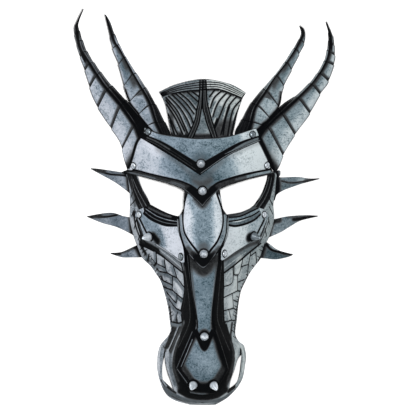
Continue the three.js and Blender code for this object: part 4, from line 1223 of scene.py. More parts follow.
BAND_LINES = ([(159.5, 92.8), (176.8, 84.8), (190.2, 81.8), (203.6, 79.8), (220.3, 81.1), (230.4, 84.8),
               (245.4, 93.5)],
              [(161.7, 95.8), (178.8, 92.4), (190.2, 90.8), (203, 89.8), (217, 89.1), (227, 91.8),
               (243.1, 98.5)])
BAND_RUBBED = ([(212, 80.4), (220.3, 81.1), (230.4, 84.8), (244, 92.5)],
               [(212, 88.8), (217, 89.1), (227, 91.8), (241.5, 97.5)])
FAN_LEGS = [
    [[(199.9, 80.5), (199.7, 92), (198.6, 102), (196.9, 110), (195.5, 118), (192.9, 125.6), (187, 139)],
     [(192.2, 139), (196.2, 130.3), (198.9, 122.9), (200.6, 113.5), (201.9, 103.5), (203, 80.5)]],
    [[(203, 80.5), (203, 107.5), (204.9, 115.5), (206.9, 123.6), (212.8, 139)],
     [(217.5, 139), (214.3, 128.3), (211.6, 120), (208.9, 110), (206.9, 100), (205.9, 80.5)]],
]
STRANDS_LEFT = [
    [(165.4, 96.8), (176.8, 110.2), (183.5, 123.6), (187.5, 133)],
    [(172.1, 94.8), (182.1, 104.8), (190.2, 115.5), (192.9, 122.9)],
    [(180.1, 93.4), (188.8, 100.8), (196.2, 110.2)],
    [(187.5, 92.4), (197.5, 101.5)],
    [(166.7, 104.8), (175.4, 118.2), (182.8, 134.3)],
    [(168.1, 114.2), (177.5, 134.3)],
    [(168.5, 96), (179.5, 107.5), (187, 119.5), (190.5, 128)],
    [(166, 100.5), (176, 114), (184.5, 131)],
    [(170, 121), (174.5, 134.3)],
    [(192, 91.8), (199, 97)],
    [(176, 94), (185.5, 102.8), (194, 114)],
]
STRANDS_RIGHT = [
    [(226.3, 93.4), (219.6, 100.8), (215.6, 108.2), (212.9, 116.9)],
    [(231, 95.1), (225.7, 102.1), (221.7, 111.5), (215, 128.3)],
    [(236.4, 96.8), (229.7, 104.8), (227, 111.5), (221, 134.3)],
    [(241.7, 99.5), (234.4, 107.5), (231, 116.9), (227.7, 135.6)],
    [(221, 91.5), (214, 98.5), (210.5, 108)],
    [(229.5, 107), (225.5, 119), (223, 135)],
    [(239.5, 107), (235, 118), (231, 135.6)],
    [(214.5, 90.5), (209.5, 97)],
    [(217, 119), (213, 131)],
]


def between(lines, shares):
    """Lines between two others, at shares of the way from the first to the second."""
    first, second = (np.array(line) for line in lines)
    return [first * (1 - share) + second * share for share in shares]


fan_marks = [
    brush([(176, 104), (184, 122)], 5, 12, tone=0.22),
    brush([(170, 108), (176, 118), (184, 131)], 3, 5, tone=0.62),
    brush([(186, 98), (196, 104)], 3, 7, tone=0.25),
    brush([(218, 96), (226, 100), (236, 104)], 4, 8, tone=0.8),
    brush([(214, 106), (210, 118)], 2, 5, tone=0.35),
    brush([(168, 136), (186, 136)], 1, 7, dye=0.85),
    brush([(214, 136), (234, 135)], 1, 7, dye=0.85),
    brush([(240, 108), (235, 124)], 1.5, 4, dye=0.7),
    brush([(167, 98), (171, 112), (173, 128)], 0.5, 4, dye=0.6),
    brush(FAN_BAND, 0.8, 4, dye=0.8),
    *brushes(STRANDS_LEFT[::2], 0.15, 1.0, dye=0.12, tone=0.75, shift=(1.5, 0)),
    *brushes(STRANDS_RIGHT[::2], 0.25, 1.1, dye=0.05, tone=0.95, shift=(-1.4, 0)),
    brush([(216, 134), (226, 127), (235, 130)], 4, 11, dye=0.66),
    *brushes(STRANDS_LEFT + STRANDS_RIGHT, 0.35, 1.7, dye=0.6),
    *cuts(STRANDS_LEFT + STRANDS_RIGHT, 0.35, 0.8, 0.9, dye=0.97),
    region([[(202.6, 107)], [(206, 121), (211, 138)], [(192.5, 138), (199, 123)]], 1, dye=0.0, tone=0.42),
    brush([(193, 136.5), (212, 136.5)], 0.5, 5, dye=0.8),
    region([FAN_TOP, FAN_BAND[::-1]], 0.8, rise=1.3, dye=0.2, tone=0.4),
    *brushes([[(x, y + k) for x, y in FAN_TOP[:4]] for k in (1.8, 4.6, 7.4)], 0.2, 0.7, dye=0.1, tone=0.6),
    *brushes([[(x, y + k - (x - FAN_MIDDLE) * BAND_SLOPE) for x, y in FAN_TOP[3:]]
              for k in (1.6, 4.0, 6.4, 8.8)], 0.3, 0.8, dye=0.0, tone=0.98),
    *[region(leg, 0.8, rise=1.3, dye=0.8, tone=0.3) for leg in FAN_LEGS],
    *cuts([run for leg in FAN_LEGS for run in leg], 0.5, 0.7, 0.1, dye=0.97),
    *[brush(np.array(run) + (inwards, 0), 0.05, 0.5, dye=0.45, tone=0.6)
      for leg in FAN_LEGS for inwards, run in zip((1.1, -1.1), leg)],
    *cuts(between(BAND_LINES, (0.25, 0.5, 0.75, 1.0)), 0.3, 0.6, 0.5, dye=0.97),
    *brushes(between(BAND_RUBBED, (0.13, 0.38, 0.63, 0.88)), 0.3, 0.5, dye=0.0, tone=1.0),
]
fan = leather("crest_fan_leather", [outline(FAN)], fan_marks, crest_paint, bottom=lambda p: -TUCK - LEATHER,
              thick=LEATHER, spacing=0.0008, tone=0.5, covers=[(shell_loop, lambda p: -TUCK)])
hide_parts("crest_fan")

# Horns: each is one long piece of leather folded along a ridge and wet-formed, its root under the
# brow, cut across into overlapping scutes whose ends stand out as small steps along both edges.
# Every horn has one facet painted dark as shade and one painted as lit, with painted shadows below the steps.
horn_paint = painted_leather(
    "horn_paint", (0.035, 0.07, 0.09, 1), (0.20, 0.248, 0.29, 1), (0.50, 0.54, 0.59, 1))
LOWEST_HORN = RIM_OVER_FRILL + GAP + LEATHER
CLEAR_OF_SHELL = 0.0002
TIP_THICK = 0.0014
HORN_BEVEL = 0.0008
STEP_OUT = 0.0009
STEP_DOWN = 0.0004
EDGE_STEP = 0.00025
NEAR_STEP = [0, 0.0003, 0.0008, 0.0013, 0.0019, 0.0026, 0.0034]
NEAR_END = [0.0002, 0.0005]
NEAR_SHARE = 0.45
LONG_SCUTE = 0.008
EVEN_FROM = 0.0045
EVEN_END = 0.0012
EVEN_STEP = 0.0011
RIDGE_BULGE = 1.2
ROOT_RISE = (0.05, 0.2)
OUT = np.array([0.0, 0.04, 0.08, 0.13, 0.19, 0.26, 0.34, 0.43, 0.53, 0.63, 0.73, 0.82, 0.89, 0.94, 0.97, 1.0])
LEFT, RIDGE, RIGHT = range(3)
# Per horn: widths of painted shade beside the brow (shade) and along the fold, width of the painted shadow
# below each step, strength of painted shade at its edges low down, and where the painted light of the lit
# facet begins (lit) and how pale it grows (pale).
HORNS = {
    "outer_left": dict(
        left=[(128, 171.5), (124.3, 160), (118.9, 141.3), (104.8, 120), (93.2, 99.1), (84.7, 71.4),
              (77.7, 49.8), (73.8, 30.6), (76.5, 22), (83, 9.3)],
        ridge=[(144, 146), (138.6, 136.9), (133.7, 124.8), (119.1, 103.6), (103.5, 84.8), (90.1, 64.3),
               (80, 47.8), (77, 30), (77.6, 22), (83.4, 9)],
        right=[(155, 134), (149.3, 127.1), (139, 113.2), (126.3, 99.6), (112.4, 85.3), (101.3, 71.9),
               (87.9, 51.8), (79.8, 29.9), (79.4, 22), (83.9, 9.6)],
        dark=RIGHT, worn=0.26, shade=0.0032, tone=(0.52, 0.54, 0.6), pale=0.74, lit=0.25, fold_shade=0.0055,
        band=0.0050, upper=0.6, root_dye=0, steps=[
            ((121.6, 149.8), (131.4, 127.9), (142, 117)), ((113.1, 128.8), (118.9, 107.9), (125.7, 99.6)),
            ((99.5, 107.6), (105.3, 91.5), (112.3, 85.7)), ((90.8, 87.9), (95, 76.8), (101.2, 71.4)),
            ((84.7, 71.4), (87, 65.2), (94, 62.5)), ((79.4, 58.5), (80.9, 53.6), (87, 51.5)),
            ((75.6, 46), (77.8, 42), (83, 40)), ((74.3, 36), (76.8, 32), (80, 31))]),
    "outer_right": dict(
        left=[(248, 137), (256.6, 128.7), (279.7, 105.9), (295.2, 95.6), (308.4, 83.5), (317, 72.6),
              (323.9, 60), (327.2, 45), (327.6, 33), (325.3, 22.6)],
        ridge=[(257, 145), (261.9, 134), (269.3, 125.4), (283.7, 111.7), (303.8, 92.1), (316.4, 77.8),
               (326.7, 60), (329.8, 44.4), (329, 33), (325.9, 21.9)],
        right=[(275, 174), (279.5, 166), (284.8, 153.1), (294.9, 135.8), (309.8, 114.5), (319.9, 95.6),
               (328.5, 82.4), (334.6, 63), (334.6, 48), (332.8, 36), (326.5, 22.2)],
        dark=LEFT, worn=0.5, shade=0.0062, tone=(0.4, 0.44, 0.54), pale=0.77, lit=0.35, fold_shade=0.0065,
        band=0.0044, upper=0.76, root_dye=0, steps=[
            ((261, 123.5), (270.4, 130.1), (281.4, 155.5)), ((277, 108), (282.6, 115.1), (294.6, 135.2)),
            ((294, 97), (299.8, 100.2), (309.8, 114)), ((308.1, 83), (311.8, 84.7), (319.9, 95)),
            ((316.6, 74.1), (321, 74.3), (328.2, 81.8)), ((323.5, 61), (328.5, 62.9), (334.2, 65.7)),
            ((326.5, 50), (330, 52), (334.8, 56)), ((327.4, 41), (329.8, 43), (334, 46)),
            ((327.4, 33), (329, 34), (332.2, 36.5))]),
    "inner_left": dict(
        left=[(157, 136), (149.4, 128.6), (144.6, 124), (136.8, 113.8), (128.4, 101.8), (123.6, 87),
              (118.2, 65.6), (112.5, 49.8), (107.1, 25.3), (105, 15.4)],
        ridge=[(163, 139), (159.1, 129.3), (155.5, 120.8), (148.4, 100.3), (133.4, 74.1), (120.4, 50),
               (114.4, 41.3), (108.6, 24), (105.6, 14.9)],
        right=[(170.4, 141), (170.8, 133.8), (161.8, 115), (147.9, 90), (127.1, 58.5), (115.9, 35.6),
               (111, 23), (106.4, 15.4)],
        dark=RIGHT, worn=0.52, shade=0.0022, tone=(0.5, 0.25, 0.42), pale=0.72, lit=0.6, fold_shade=0.005,
        band=0.0018, upper=0.84, root_dye=0, steps=[
            ((149.5, 123), (156.5, 122.5), (165.5, 122)), ((140.8, 113.2), (150.5, 105.2), (156, 104.5)),
            ((131.9, 101.2), (142, 90), (146.5, 87.5)), ((124.2, 86.6), (133.4, 74.1), (137, 73.2)),
            ((118.2, 65.6), (124.5, 57.5), (126.5, 57.1)), ((112.3, 49.1), (117.5, 45.5), (120, 44.5)),
            ((108.5, 38.4), (112.5, 35.5), (115, 34.5))]),
    "inner_right": dict(
        left=[(237, 140), (234.6, 133), (240, 122), (247, 109), (255, 97.3), (273.4, 76.6), (283.7, 62.9),
              (296.5, 42.9), (300.4, 33.7), (299, 26.4)],
        ridge=[(247, 138), (251, 125), (255, 108), (265.3, 92.1), (275.1, 76.6), (288.8, 59), (301, 39),
               (302.3, 31), (299.5, 25.9)],
        right=[(250, 140), (258, 130.4), (269.6, 120), (280, 106.6), (283.1, 89.8), (291.7, 70.9),
               (299.5, 54.8), (305, 42), (304.6, 31), (300.1, 26.3)],
        dark=LEFT, worn=0.46, shade=0.0022, tone=(0.56, 0.26, 0.38), pale=0.7, lit=0.6, fold_shade=0.005,
        band=0.0026, upper=0.84, root_dye=0.66, steps=[
            ((241.5, 119.5), (251.3, 122), (262, 124)), ((251.4, 103), (256.5, 105.5), (268.2, 117.5)),
            ((263, 89), (265.8, 91), (277, 107)), ((273.3, 77.2), (276, 75.5), (283.5, 86.5)),
            ((284, 62.5), (286.5, 62.5), (291.7, 70.9)), ((292.5, 49.5), (295, 48.2), (299.2, 55.2)),
            ((298, 40), (300.5, 40), (304, 44.5))]),
}
HORN_HEIGHTS = {
    "outer": ([(0.1, 9), (0.4, 14), (0.7, 18), (1, 22)], [(0.1, 21), (0.4, 27), (0.7, 27), (1, 23)],
              [(0.1, 18), (0.4, 18), (0.7, 20), (1, 22)]),
    "inner": ([(0.1, 28), (0.4, 31), (0.7, 32), (1, 33)], [(0.1, 36), (0.4, 40), (0.7, 39), (1, 34)],
              [(0.1, 34), (0.4, 33), (0.7, 33), (1, 33)]),
}
under_brow = [outline(BROW_LOWER), outline(BROW_UPPER), shell_loop]


def step_shares(edge, points):
    """Shares of an edge's length: its start, the places where the scutes step, and its end."""
    shares = np.linspace(0, 1, len(edge))
    nearest = [np.argmin(np.linalg.norm(edge - place([point]), axis=1)) for point in points]
    return np.concatenate(([0.0], shares[nearest], [1.0]))


def along_scutes(spans):
    """Places along a horn as (number of its scute, share of its length): close together at each step,
    and evenly apart where a scute is long."""
    places = []
    for scute, span in enumerate(spans):
        local = [at for at in NEAR_STEP if at < span * NEAR_SHARE]
        local += [span - at for at in NEAR_END if at < span * NEAR_SHARE]
        if span > LONG_SCUTE:
            local += list(np.linspace(EVEN_FROM, span - EVEN_END, int(span / EVEN_STEP)))
        places += [(scute, share) for share in np.unique(np.round(local, 5)) / span]
    return np.array(places + [(scute, 1.0)]).T


def peak(centre, width, at):
    """1 at the centre, falling off to both sides."""
    return np.exp(-((at - centre) / width) ** 2)


def shaded_facet(shape, inner, t, out, to_ridge, to_edge, from_step, later):
    """Painted shade and tone of the facet away from the light: painted near black as shade, less dark half
    way up, with painted highlights (glints) along its ridge and its edge and on the outer ends of the scutes."""
    # Painted shade, lighter half way up the horn by the share given as worn.
    body = 0.97 - shape["worn"] * smooth(0.3, 0.52, t) * fade(0.78, 0.86, t)
    body = body - 0.1 * np.sin(out * 34 + t * 9) - 0.12 * inner
    # Painted highlights along the ridge and the edge, and on the outer ends of the scutes past each step.
    glint = np.maximum(peak(0.0022, 0.0004, to_ridge), peak(0.0013, 0.0005, to_edge))
    step_glint = later * smooth(0.5, 0.8, out) * peak(0.0015, 0.0006, from_step) * smooth(0.25, 0.4, t)
    return body - 0.35 * np.maximum(glint * smooth(0.08, 0.2, t), step_glint * 1.6), np.full(len(t), 0.62)


def lit_facet(shape, inner, t, out, to_ridge, to_edge, from_step, later, fraction):
    """Painted light, painted shade and tone of the facet in the light: silver-blue, paler where painted as
    lit, with painted shadow below each step, painted shade along the fold and at the root, and darker towards
    the tip."""
    # Painted shadow below each step, cast on it by the end of the scute before.
    reaching = shape["band"] + 0.0012 * fade(0.1, 0.8, out)
    band = 0.66 * later * fade(0.4, 1.0, from_step / reaching)
    # Painted shade along the fold at the ridge.
    fold_shade = 0.72 * fade(0.0014, shape["fold_shade"], to_ridge)
    # Painted shade near both edges of the lower part, as strong as the horn's setting gives.
    edge_shade = shape["root_dye"] * (t < 0.45) * fade(0.001, 0.0062, np.minimum(to_ridge, to_edge))
    # Painted shade at the root, where the horn goes in under the brow.
    root = 0.85 * fade(0.01, 0.09, t)
    upper = 0.96 * smooth(shape["upper"], shape["upper"] + 0.08, t) * fade(0.45, 0.72, out)
    inner_rim = 0.97 * fade(0.0014, 0.0028, to_edge) * fade(0.4, 0.48, t) * inner
    dye = np.max([band, fold_shade, edge_shade, root, upper, inner_rim], axis=0)
    # Inner horns: painted shade near the ridge, growing along each scute.
    if inner:
        dye = np.maximum(dye, 0.6 * smooth(0.0, 0.6, fraction) * fade(0.3, 0.75, out) * (t > 0.35))
    at_root, half_way, at_top = shape["tone"]
    tone = at_root + (half_way - at_root) * smooth(0.38, 0.5, t)
    tone = tone + (at_top - half_way) * smooth(0.62, 0.75, t)
    # Painted light: the facet grows paler out towards its edge, less so in the painted shadow just past each
    # step.
    lit = smooth(shape["lit"], shape["lit"] + 0.4, out) * (1 - 0.4 * later * fade(0.001, 0.007, from_step))
    return dye, tone + (shape["pale"] - tone) * lit


def folded_faces(rows, columns):
    """Triangles of a sheet of rows and columns of points, followed by as many under it."""
    upper = np.arange(rows * columns).reshape(rows, columns)
    lower = upper + rows * columns
    quads = [
        (upper[:-1, :-1], upper[:-1, 1:], upper[1:, 1:], upper[1:, :-1]),
        (lower[:-1, :-1], lower[1:, :-1], lower[1:, 1:], lower[:-1, 1:]),
        (upper[0, 1:], upper[0, :-1], lower[0, :-1], lower[0, 1:]),
        (upper[-1, :-1], upper[-1, 1:], lower[-1, 1:], lower[-1, :-1]),
        (upper[:-1, 0], upper[1:, 0], lower[1:, 0], lower[:-1, 0]),
        (upper[1:, -1], upper[:-1, -1], lower[:-1, -1], lower[1:, -1]),
    ]
    triangles = []
    for corners in quads:
        a, b, c, d = (corner.ravel() for corner in corners)
        triangles += [np.column_stack((a, b, c)), np.column_stack((a, c, d))]
    return np.concatenate(triangles)


for name, shape in HORNS.items():
    inner = name.startswith("inner")
    heights = [through(stations) for stations in HORN_HEIGHTS[name.split("_")[0]]]
    if name.endswith("right"):
        heights.reverse()
    edges = [even(place(shape[key]), EDGE_STEP) for key in ("left", "ridge", "right")]
    shares = [np.linspace(0, 1, len(edge)) for edge in edges]
    knots = [step_shares(edge, [step[k] for step in shape["steps"]]) for k, edge in enumerate(edges)]
    length = len(edges[RIDGE]) * EDGE_STEP
    spans = np.diff(knots[RIDGE]) * length
    scute, fraction = along_scutes(spans)
    side_t = [np.interp(scute + fraction, np.arange(len(column)), column) for column in knots]
    span = spans[scute.astype(int)]
    from_step, to_step = fraction * span, (1 - fraction) * span
    later, sooner = scute > 0, scute < scute[-1]
    grid, dye, tone = [], [], []
    for side, out in [(LEFT, out) for out in OUT[:0:-1]] + [(RIGHT, out) for out in OUT]:
        t = side_t[RIDGE] + (side_t[side] - side_t[RIDGE]) * out ** RIDGE_BULGE
        edge_at, ridge_at = (np.column_stack([np.interp(t, shares[k], edges[k][:, axis]) for axis in (0, 1)])
                             for k in (side, RIDGE))
        reach = ridge_at - edge_at
        width = np.linalg.norm(reach, axis=1)
        drop = STEP_OUT * later * fade(0, 1, fraction * 0.9)
        pulled = edge_at + reach * (drop / (width + 0.002))[:, None]
        at = pulled + (ridge_at - pulled) * (1 - out)
        z = 0.001 * (heights[side](t) * out + heights[RIDGE](t) * (1 - out)) - drop
        z -= HORN_BEVEL * smooth(0.75, 1.0, out) ** 2
        upright = shell_normal(at[:, 0], at[:, 1])[:, 2]
        tucked = shell_height(at[:, 0], at[:, 1]) - TUCK / upright - CLEAR_OF_SHELL
        tucked = np.maximum(tucked, LOWEST_HORN)
        z = tucked + (z - tucked) * smooth(*ROOT_RISE, t)
        for loop in under_brow:
            hidden = inside(at, loop)
            z[hidden] = np.minimum(z[hidden], tucked[hidden])
        z -= STEP_DOWN * later * peak(0, 0.0005, from_step)
        grid.append(np.column_stack((at, z)))

        to_ridge, to_edge = out * width, (1 - out) * width
        if side == shape["dark"]:
            facet = shaded_facet(shape, inner, t, out, to_ridge, to_edge, from_step, later)
        else:
            facet = lit_facet(shape, inner, t, out, to_ridge, to_edge, from_step, later, fraction)
        dye.append(np.max([
            facet[0],
            0.97 * later * fade(0.0003, 0.0010, from_step),
            0.97 * sooner * fade(0.0, 0.0005, to_step),
            0.97 * fade(0.0009, 0.0016, to_ridge),
            0.75 * fade(0.0003, 0.0010, to_edge),
            # Painted shade where the horn runs in under the lower brow plate.
            fade(shape["shade"] * 0.3, shape["shade"], distance_to(at, under_brow[0], True)),
            0.6 * smooth(0.88, 1.0, t),
        ], axis=0).clip(0, 1))
        tone.append(facet[1])
    grid, dye, tone = (np.array(columns).swapaxes(0, 1) for columns in (grid, dye, tone))
    thick = (LEATHER + (TIP_THICK - LEATHER) * side_t[RIDGE] ** 3)[:, None]
    bevel = HORN_BEVEL * smooth(0.75, 1.0, np.append(OUT[:0:-1], OUT)) ** 2
    under = grid.copy()
    under[:, :, 2] -= thick - bevel
    horn = new_piece("horn_leather_" + name, np.concatenate((grid.reshape(-1, 3), under.reshape(-1, 3))),
                     folded_faces(*dye.shape), two_sided(dye, tone, dye.size), horn_paint, angle=32)
    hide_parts("horn_" + name)

# Side frills: on each side a flat strip of leather under the face edge, cut into three spikes that
# are creased along a ridge. Black at the roots, from dye and from painted shadow under the face edge,
# and darker on the upper facet of each spike.
frill_paint = painted_leather(
    "frill_paint", (0.03, 0.05, 0.065, 1), (0.125, 0.155, 0.185, 1), (0.34, 0.38, 0.42, 1))
FRILL = 0.003
FRILL_TIP = 0.0012


class Bench:
    """A flat form, where the hide lies as it is drawn."""
    flat = back = staticmethod(lambda points: points)

    @staticmethod
    def lift(points, distance):
        return np.column_stack((points, distance + np.zeros(len(points))))


FRILLS = {
    "left": dict(
        outline=[
            [(125, 170.5)],
            [(121.5, 172.2), (102.1, 169.2), (91.4, 168.2)],
            [(90.9, 169.2), (100.1, 174.1), (113.5, 181.4), (121.5, 186.8), (129.2, 193)],
            [(131.2, 197), (131.6, 208), (133, 216.8)],
            [(122.9, 216), (113.5, 212.9), (103.4, 213.2), (87.8, 216.1)],
            [(87.8, 217.2), (102.1, 222.9), (117.5, 227.3), (133.4, 235.4)],
            [(136.9, 240), (138, 244.6)],
            [(136.9, 245), (123.5, 251.2), (117.5, 252.5), (110.8, 252.9)],
            [(110.9, 253.9), (121.5, 257.1), (130.9, 257.4), (144.3, 256.8)],
            [(151.5, 253), (141.5, 222), (138.5, 205), (138, 190), (136.5, 178)],
            [(133, 171.5)],
        ],
        ridges=[[(134, 178), (121.5, 174.6), (110.1, 173.7), (91, 168.7)],
                [(137, 219), (122.9, 218), (116.2, 214.8), (103.4, 216.3), (87.4, 216.6)],
                [(144, 248), (136.9, 247), (122.9, 253.3), (110.5, 253.4)]],
        marks=[
            region([[(131, 171), (121.5, 171.5), (91, 167.5)],
                    [(90.5, 168.8), (110.1, 174), (121.5, 175), (131, 178)]], 1, dye=0.25, tone=0.55),
            region([[(135, 216), (122.9, 215.5), (113.5, 212), (87, 215.5)],
                    [(87, 216.8), (103.4, 216.5), (116.2, 215.1), (135, 219)]], 1, dye=0.35, tone=0.45),
            brush([(131, 177), (121.5, 175.3), (110.1, 174.3), (96, 170.5)], 0.5, 1.0, dye=0.9),
            brush([(117, 215), (110, 216.4), (103.4, 217), (89, 216.8)], 0.5, 1.2, dye=0.9),
            brush([(118, 170.6), (106, 169.8), (96, 168.8)], 0.1, 0.6, dye=0.6),
            brush([(118, 221), (128, 224)], 4, 9, tone=0.38),
            region([[(141, 242), (123.5, 250.5), (110, 252.5)],
                    [(110, 253.6), (122.9, 253.6), (137, 248), (142, 247)]], 1, dye=0.55, tone=0.3),
            # Roots: black dye and painted shadow under the face edge.
            brush([(124, 171), (127, 173)], 1.5, 3, dye=0.97),
            brush([(129, 176), (131, 194)], 1.5, 5, dye=0.85),
            brush([(134, 216), (136, 237)], 3.5, 6, dye=0.95),
            brush([(139, 244), (146, 258)], 3.5, 7, dye=0.95),
            brush([(91, 168.5), (104, 171.5)], 0.5, 4, dye=0.7),
            brush([(87.8, 216.6), (100, 216)], 0.5, 4, dye=0.75),
            brush([(110.8, 253.4), (120, 254)], 0.3, 3, dye=0.8),
        ]),
    "right": dict(
        outline=[
            [(271, 171.5)],
            [(267.5, 178), (265.5, 190), (264.5, 205), (261.8, 222)],
            [(251, 253)],
            [(258.3, 257.6), (265, 258.4), (276.5, 259.3), (288.6, 256.8), (292.5, 254.9)],
            [(292.5, 253.8), (288.6, 253.1), (277.8, 249.8), (268.8, 243.4), (266, 241.6)],
            [(266.4, 238.4)],
            [(268.8, 237.4), (280.9, 232), (290.5, 226.2), (300.7, 220.6), (317.3, 216.6)],
            [(317.3, 215.5), (304.5, 215.1), (287.3, 216.3), (274.6, 219), (271.3, 219.4)],
            [(271.6, 203)],
            [(275, 199.8), (277, 194.4)],
            [(284.1, 189.9), (300.7, 184.1), (318.5, 179.3)],
            [(318.5, 178.2), (309.6, 178.4), (296.9, 176.8), (280.3, 177.3)],
            [(280.3, 175), (279.6, 170.5)],
        ],
        ridges=[[(272, 182), (280.3, 179.5), (292.4, 182.2), (318.9, 178.7)],
                [(268, 223), (276, 221.5), (290, 218.5), (317.6, 216)],
                [(258, 244), (265, 245.6), (273.3, 251.3), (292.7, 254.3)]],
        marks=[
            brush([(285, 179), (296, 180.5), (310, 179)], 0, 2.5, tone=0.85),
            brush([(282, 181), (293, 182.8), (318, 179.2)], 0.3, 1.6, dye=0.8),
            brush([(294, 219.3), (303, 218.2), (316, 216.4)], 1, 3, dye=0.85),
            brush([(288, 217), (300, 216)], 0.3, 2.4, dye=0.5),
            brush([(284, 186), (292, 184)], 4, 8, tone=0.4),
            brush([(280, 224), (292, 222)], 4, 8, tone=0.45),
            brush([(274, 221), (279, 220)], 1.5, 4, dye=0.75),
            brush([(268, 252), (284, 256)], 3, 8, tone=0.2),
            brush([(271, 245.5), (277, 250)], 0.5, 2, dye=0.0, tone=1.0),
            brush([(266.5, 244), (271, 249.5), (280, 252.3), (291, 254.5)], 0.8, 1.2, dye=0.92),
            # Roots: black dye and painted shadow under the face edge.
            brush([(273, 172), (275, 186), (273, 199)], 3.5, 6, dye=0.97),
            brush([(269, 221), (265, 238)], 3, 6, dye=0.92),
            brush([(262, 243), (258, 257)], 3, 7, dye=0.9),
            brush([(318, 178.8), (306, 181)], 0.5, 4, dye=0.7),
            brush([(292.5, 254.4), (284, 253.5)], 0.3, 3, dye=0.8),
        ]),
}
CREASE_REACH = 0.016
crease = through([(0, 0), (0.22, 0), (0.5, 0.0045), (1, 0.0012)])
for side, frill in FRILLS.items():
    rim = outline(frill["outline"])
    ridges = [even(place(line), CUT_STEP) for line in frill["ridges"]]

    def crease_height(p):
        """The crease stands up along each spike's ridge, and the spike thins towards its tip."""
        result = np.zeros(len(p))
        to_rim = distance_to(p, rim, True)
        for line in ridges:
            to_ridge = distance_to(p, line)
            to_points = ((p[:, None, :] - line[None, ::4]) ** 2).sum(axis=2)
            along = np.argmin(to_points, axis=1) * 4 / len(line)
            near = to_ridge < CREASE_REACH
            slope = to_rim / np.maximum(to_ridge + to_rim, 1e-9)
            thinner = (FRILL - FRILL_TIP) * np.clip(along, 0, 1) ** 2
            result[near] = (crease(along) * slope - thinner)[near]
        return result

    piece = leather("side_frill_leather_" + side, [rim], frill["marks"], frill_paint, form=Bench, edge=0.0006,
                    bottom=lambda p: 0.0, thick=FRILL, spacing=0.001, tone=0.56, top=crease_height)
    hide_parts("side_frill_" + side)

# Rivets and cone studs: turned metal, sprayed with the same silver as the leather and rubbed bright
# on top, with painted shade towards the foot. The rivets have flat domed heads; the studs stand up to a
# blunt point over a small collar.
OLD_DYE_AND_SHADE = (0.02, 0.024, 0.03, 1)
DULLING = dict(scale=300, detail=3, roughness=0.6)
PITTING = dict(scale=1100, detail=2, roughness=0.6)
TURNS = 48


def silver(name, bright, dull):
    """Dull silver, brighter where it is rubbed, with painted shade towards its foot and fine pits that hold
    the dye.
    """
    finish = Finish(name)
    spot = finish.node("ShaderNodeTexCoord", {}, {}, 3)
    cloud = finish.noise(spot, **DULLING)
    pits = finish.ramp(finish.noise(spot, **PITTING), 0.44, 0.34)
    low = finish.number("low")
    metal = finish.colour_mix(finish.ramp(cloud, 0.3, 0.7), dull, bright)
    # Painted shade towards the foot, where low is high, together with the dye held in the pits.
    shade = finish.ramp(low + pits * 0.35 + (cloud - 0.5) * 0.3, 0.1, 1.0)
    bump = finish.node("ShaderNodeBump", {}, {"Strength": 0.2, "Distance": 0.0003, "Height": cloud})
    finish.shader_values(
        Base_Color=finish.colour_mix(shade, metal, OLD_DYE_AND_SHADE),
        Metallic=0.55 - shade * 0.5,
        Roughness=0.34 + shade * 0.3,
        Normal=bump,
    )
    return finish.material


rivet_silver = silver("rivet_silver", (0.62, 0.66, 0.7, 1), (0.36, 0.41, 0.46, 1))
stud_silver = silver("stud_silver", (0.72, 0.77, 0.82, 1), (0.46, 0.52, 0.58, 1))
worn_silver = silver("worn_silver", (0.22, 0.26, 0.29, 1), (0.11, 0.135, 0.15, 1))
WORN = ("brow_upper_left", "brow_upper_right", "cheek_inner_left", "cheek_right")


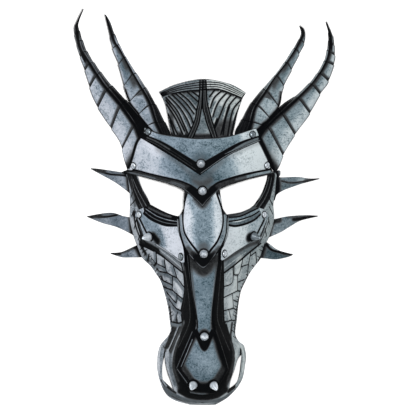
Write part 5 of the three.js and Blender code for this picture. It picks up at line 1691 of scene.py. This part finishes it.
def turned(name, profile, seat, over, material):
    """A turned piece on the form: profile is (radius, height) in millimetres, from the seat up."""
    at = place([seat])
    normal = Vector(shell_normal(at[:, 0], at[:, 1])[0])
    base_point = Vector(face.lift(at, over(at) + PLATE + GAP)[0])
    turn = Vector((0, 0, 1)).rotation_difference(normal)
    angles = np.linspace(0, 2 * math.pi, TURNS, endpoint=False)
    points, low = [(0, 0, 0)], [1.0]
    tallest = profile[-1][1]
    for radius, height in profile[1:-1]:
        points += [(radius * math.cos(a), radius * math.sin(a), height) for a in angles]
        # low: 1 at the foot, falling to 0 a quarter of the way up, where the material paints shade.
        low += [1 - min(1, 4 * height / tallest)] * TURNS
    points.append((0, 0, tallest))
    low.append(0.0)
    rings = len(profile) - 2
    triangles = []
    for k in range(TURNS):
        after = (k + 1) % TURNS
        triangles.append((0, 1 + after, 1 + k))
        for ring in range(rings - 1):
            a, b = 1 + ring * TURNS + k, 1 + ring * TURNS + after
            triangles += [(a, b, b + TURNS), (a, b + TURNS, a + TURNS)]
        last = 1 + (rings - 1) * TURNS
        triangles.append((last + k, last + after, len(points) - 1))
    placed = [base_point + turn @ (Vector(p) * 0.001) for p in points]
    return new_piece(name, np.array(placed), np.array(triangles), {"low": low}, material, angle=60)


RIVET = [(0, 0), (3.15, 0), (3.28, 0.15), (3.25, 0.5), (3.0, 0.85), (2.4, 1.25), (1.6, 1.55), (0.8, 1.72),
         (0, 1.78)]
STUD = [(0, 0), (4.45, 0), (4.55, 0.2), (4.5, 1.2), (4.25, 2.4), (3.8, 4.0), (3.2, 5.7), (2.55, 7.3),
        (1.9, 8.8), (1.3, 9.9), (0.8, 10.6), (0.35, 10.92), (0, 11)]
RIVETS = {
    "brow_upper_left": ((148.2, 132), upper_brow_under),
    "brow_upper_right": ((252.5, 134.6), upper_brow_under),
    "brow_lower_left": ((133.6, 165.9), lower_brow_under),
    "brow_lower_right": ((267, 165.3), lower_brow_under),
    "cheek_outer_left": (CHEEK_RIVETS["left"][0], flat_seat),
    "cheek_outer_right": (CHEEK_RIVETS["right"][0], flat_seat),
    "cheek_inner_left": (CHEEK_RIVETS["left"][1], flat_seat),
    "cheek_inner_right": (CHEEK_RIVETS["right"][1], flat_seat),
}
STUDS = {
    "brow_upper": ((201, 164), upper_brow_under),
    "brow_lower": ((202.5, 191.5), lower_brow_under),
    "nose_bridge": ((203.8, 253.7), lambda p: bridge_under(p) + PANEL_RISE * 0.001),
    "snout": ((204.4, 336.2), lambda p: snout_under(p) + PANEL_RISE * 0.001),
    "nose_left": ((193.6, 384), flat_seat),
    "nose_right": ((213.3, 384.2), flat_seat),
    "cheek_left": (CHEEK_STUDS["left"], flat_seat),
    "cheek_right": (CHEEK_STUDS["right"], flat_seat),
}
FASTENERS = [("rivet", RIVET, RIVETS, rivet_silver), ("stud", STUD, STUDS, stud_silver)]
for kind, profile, seats, polish in FASTENERS:
    for name, (seat, over) in seats.items():
        head = turned(f"{kind}_head_{name}", profile, seat, over, worn_silver if name in WORN else polish)
        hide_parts(f"{kind}_{name}")
        kind + "_metal"
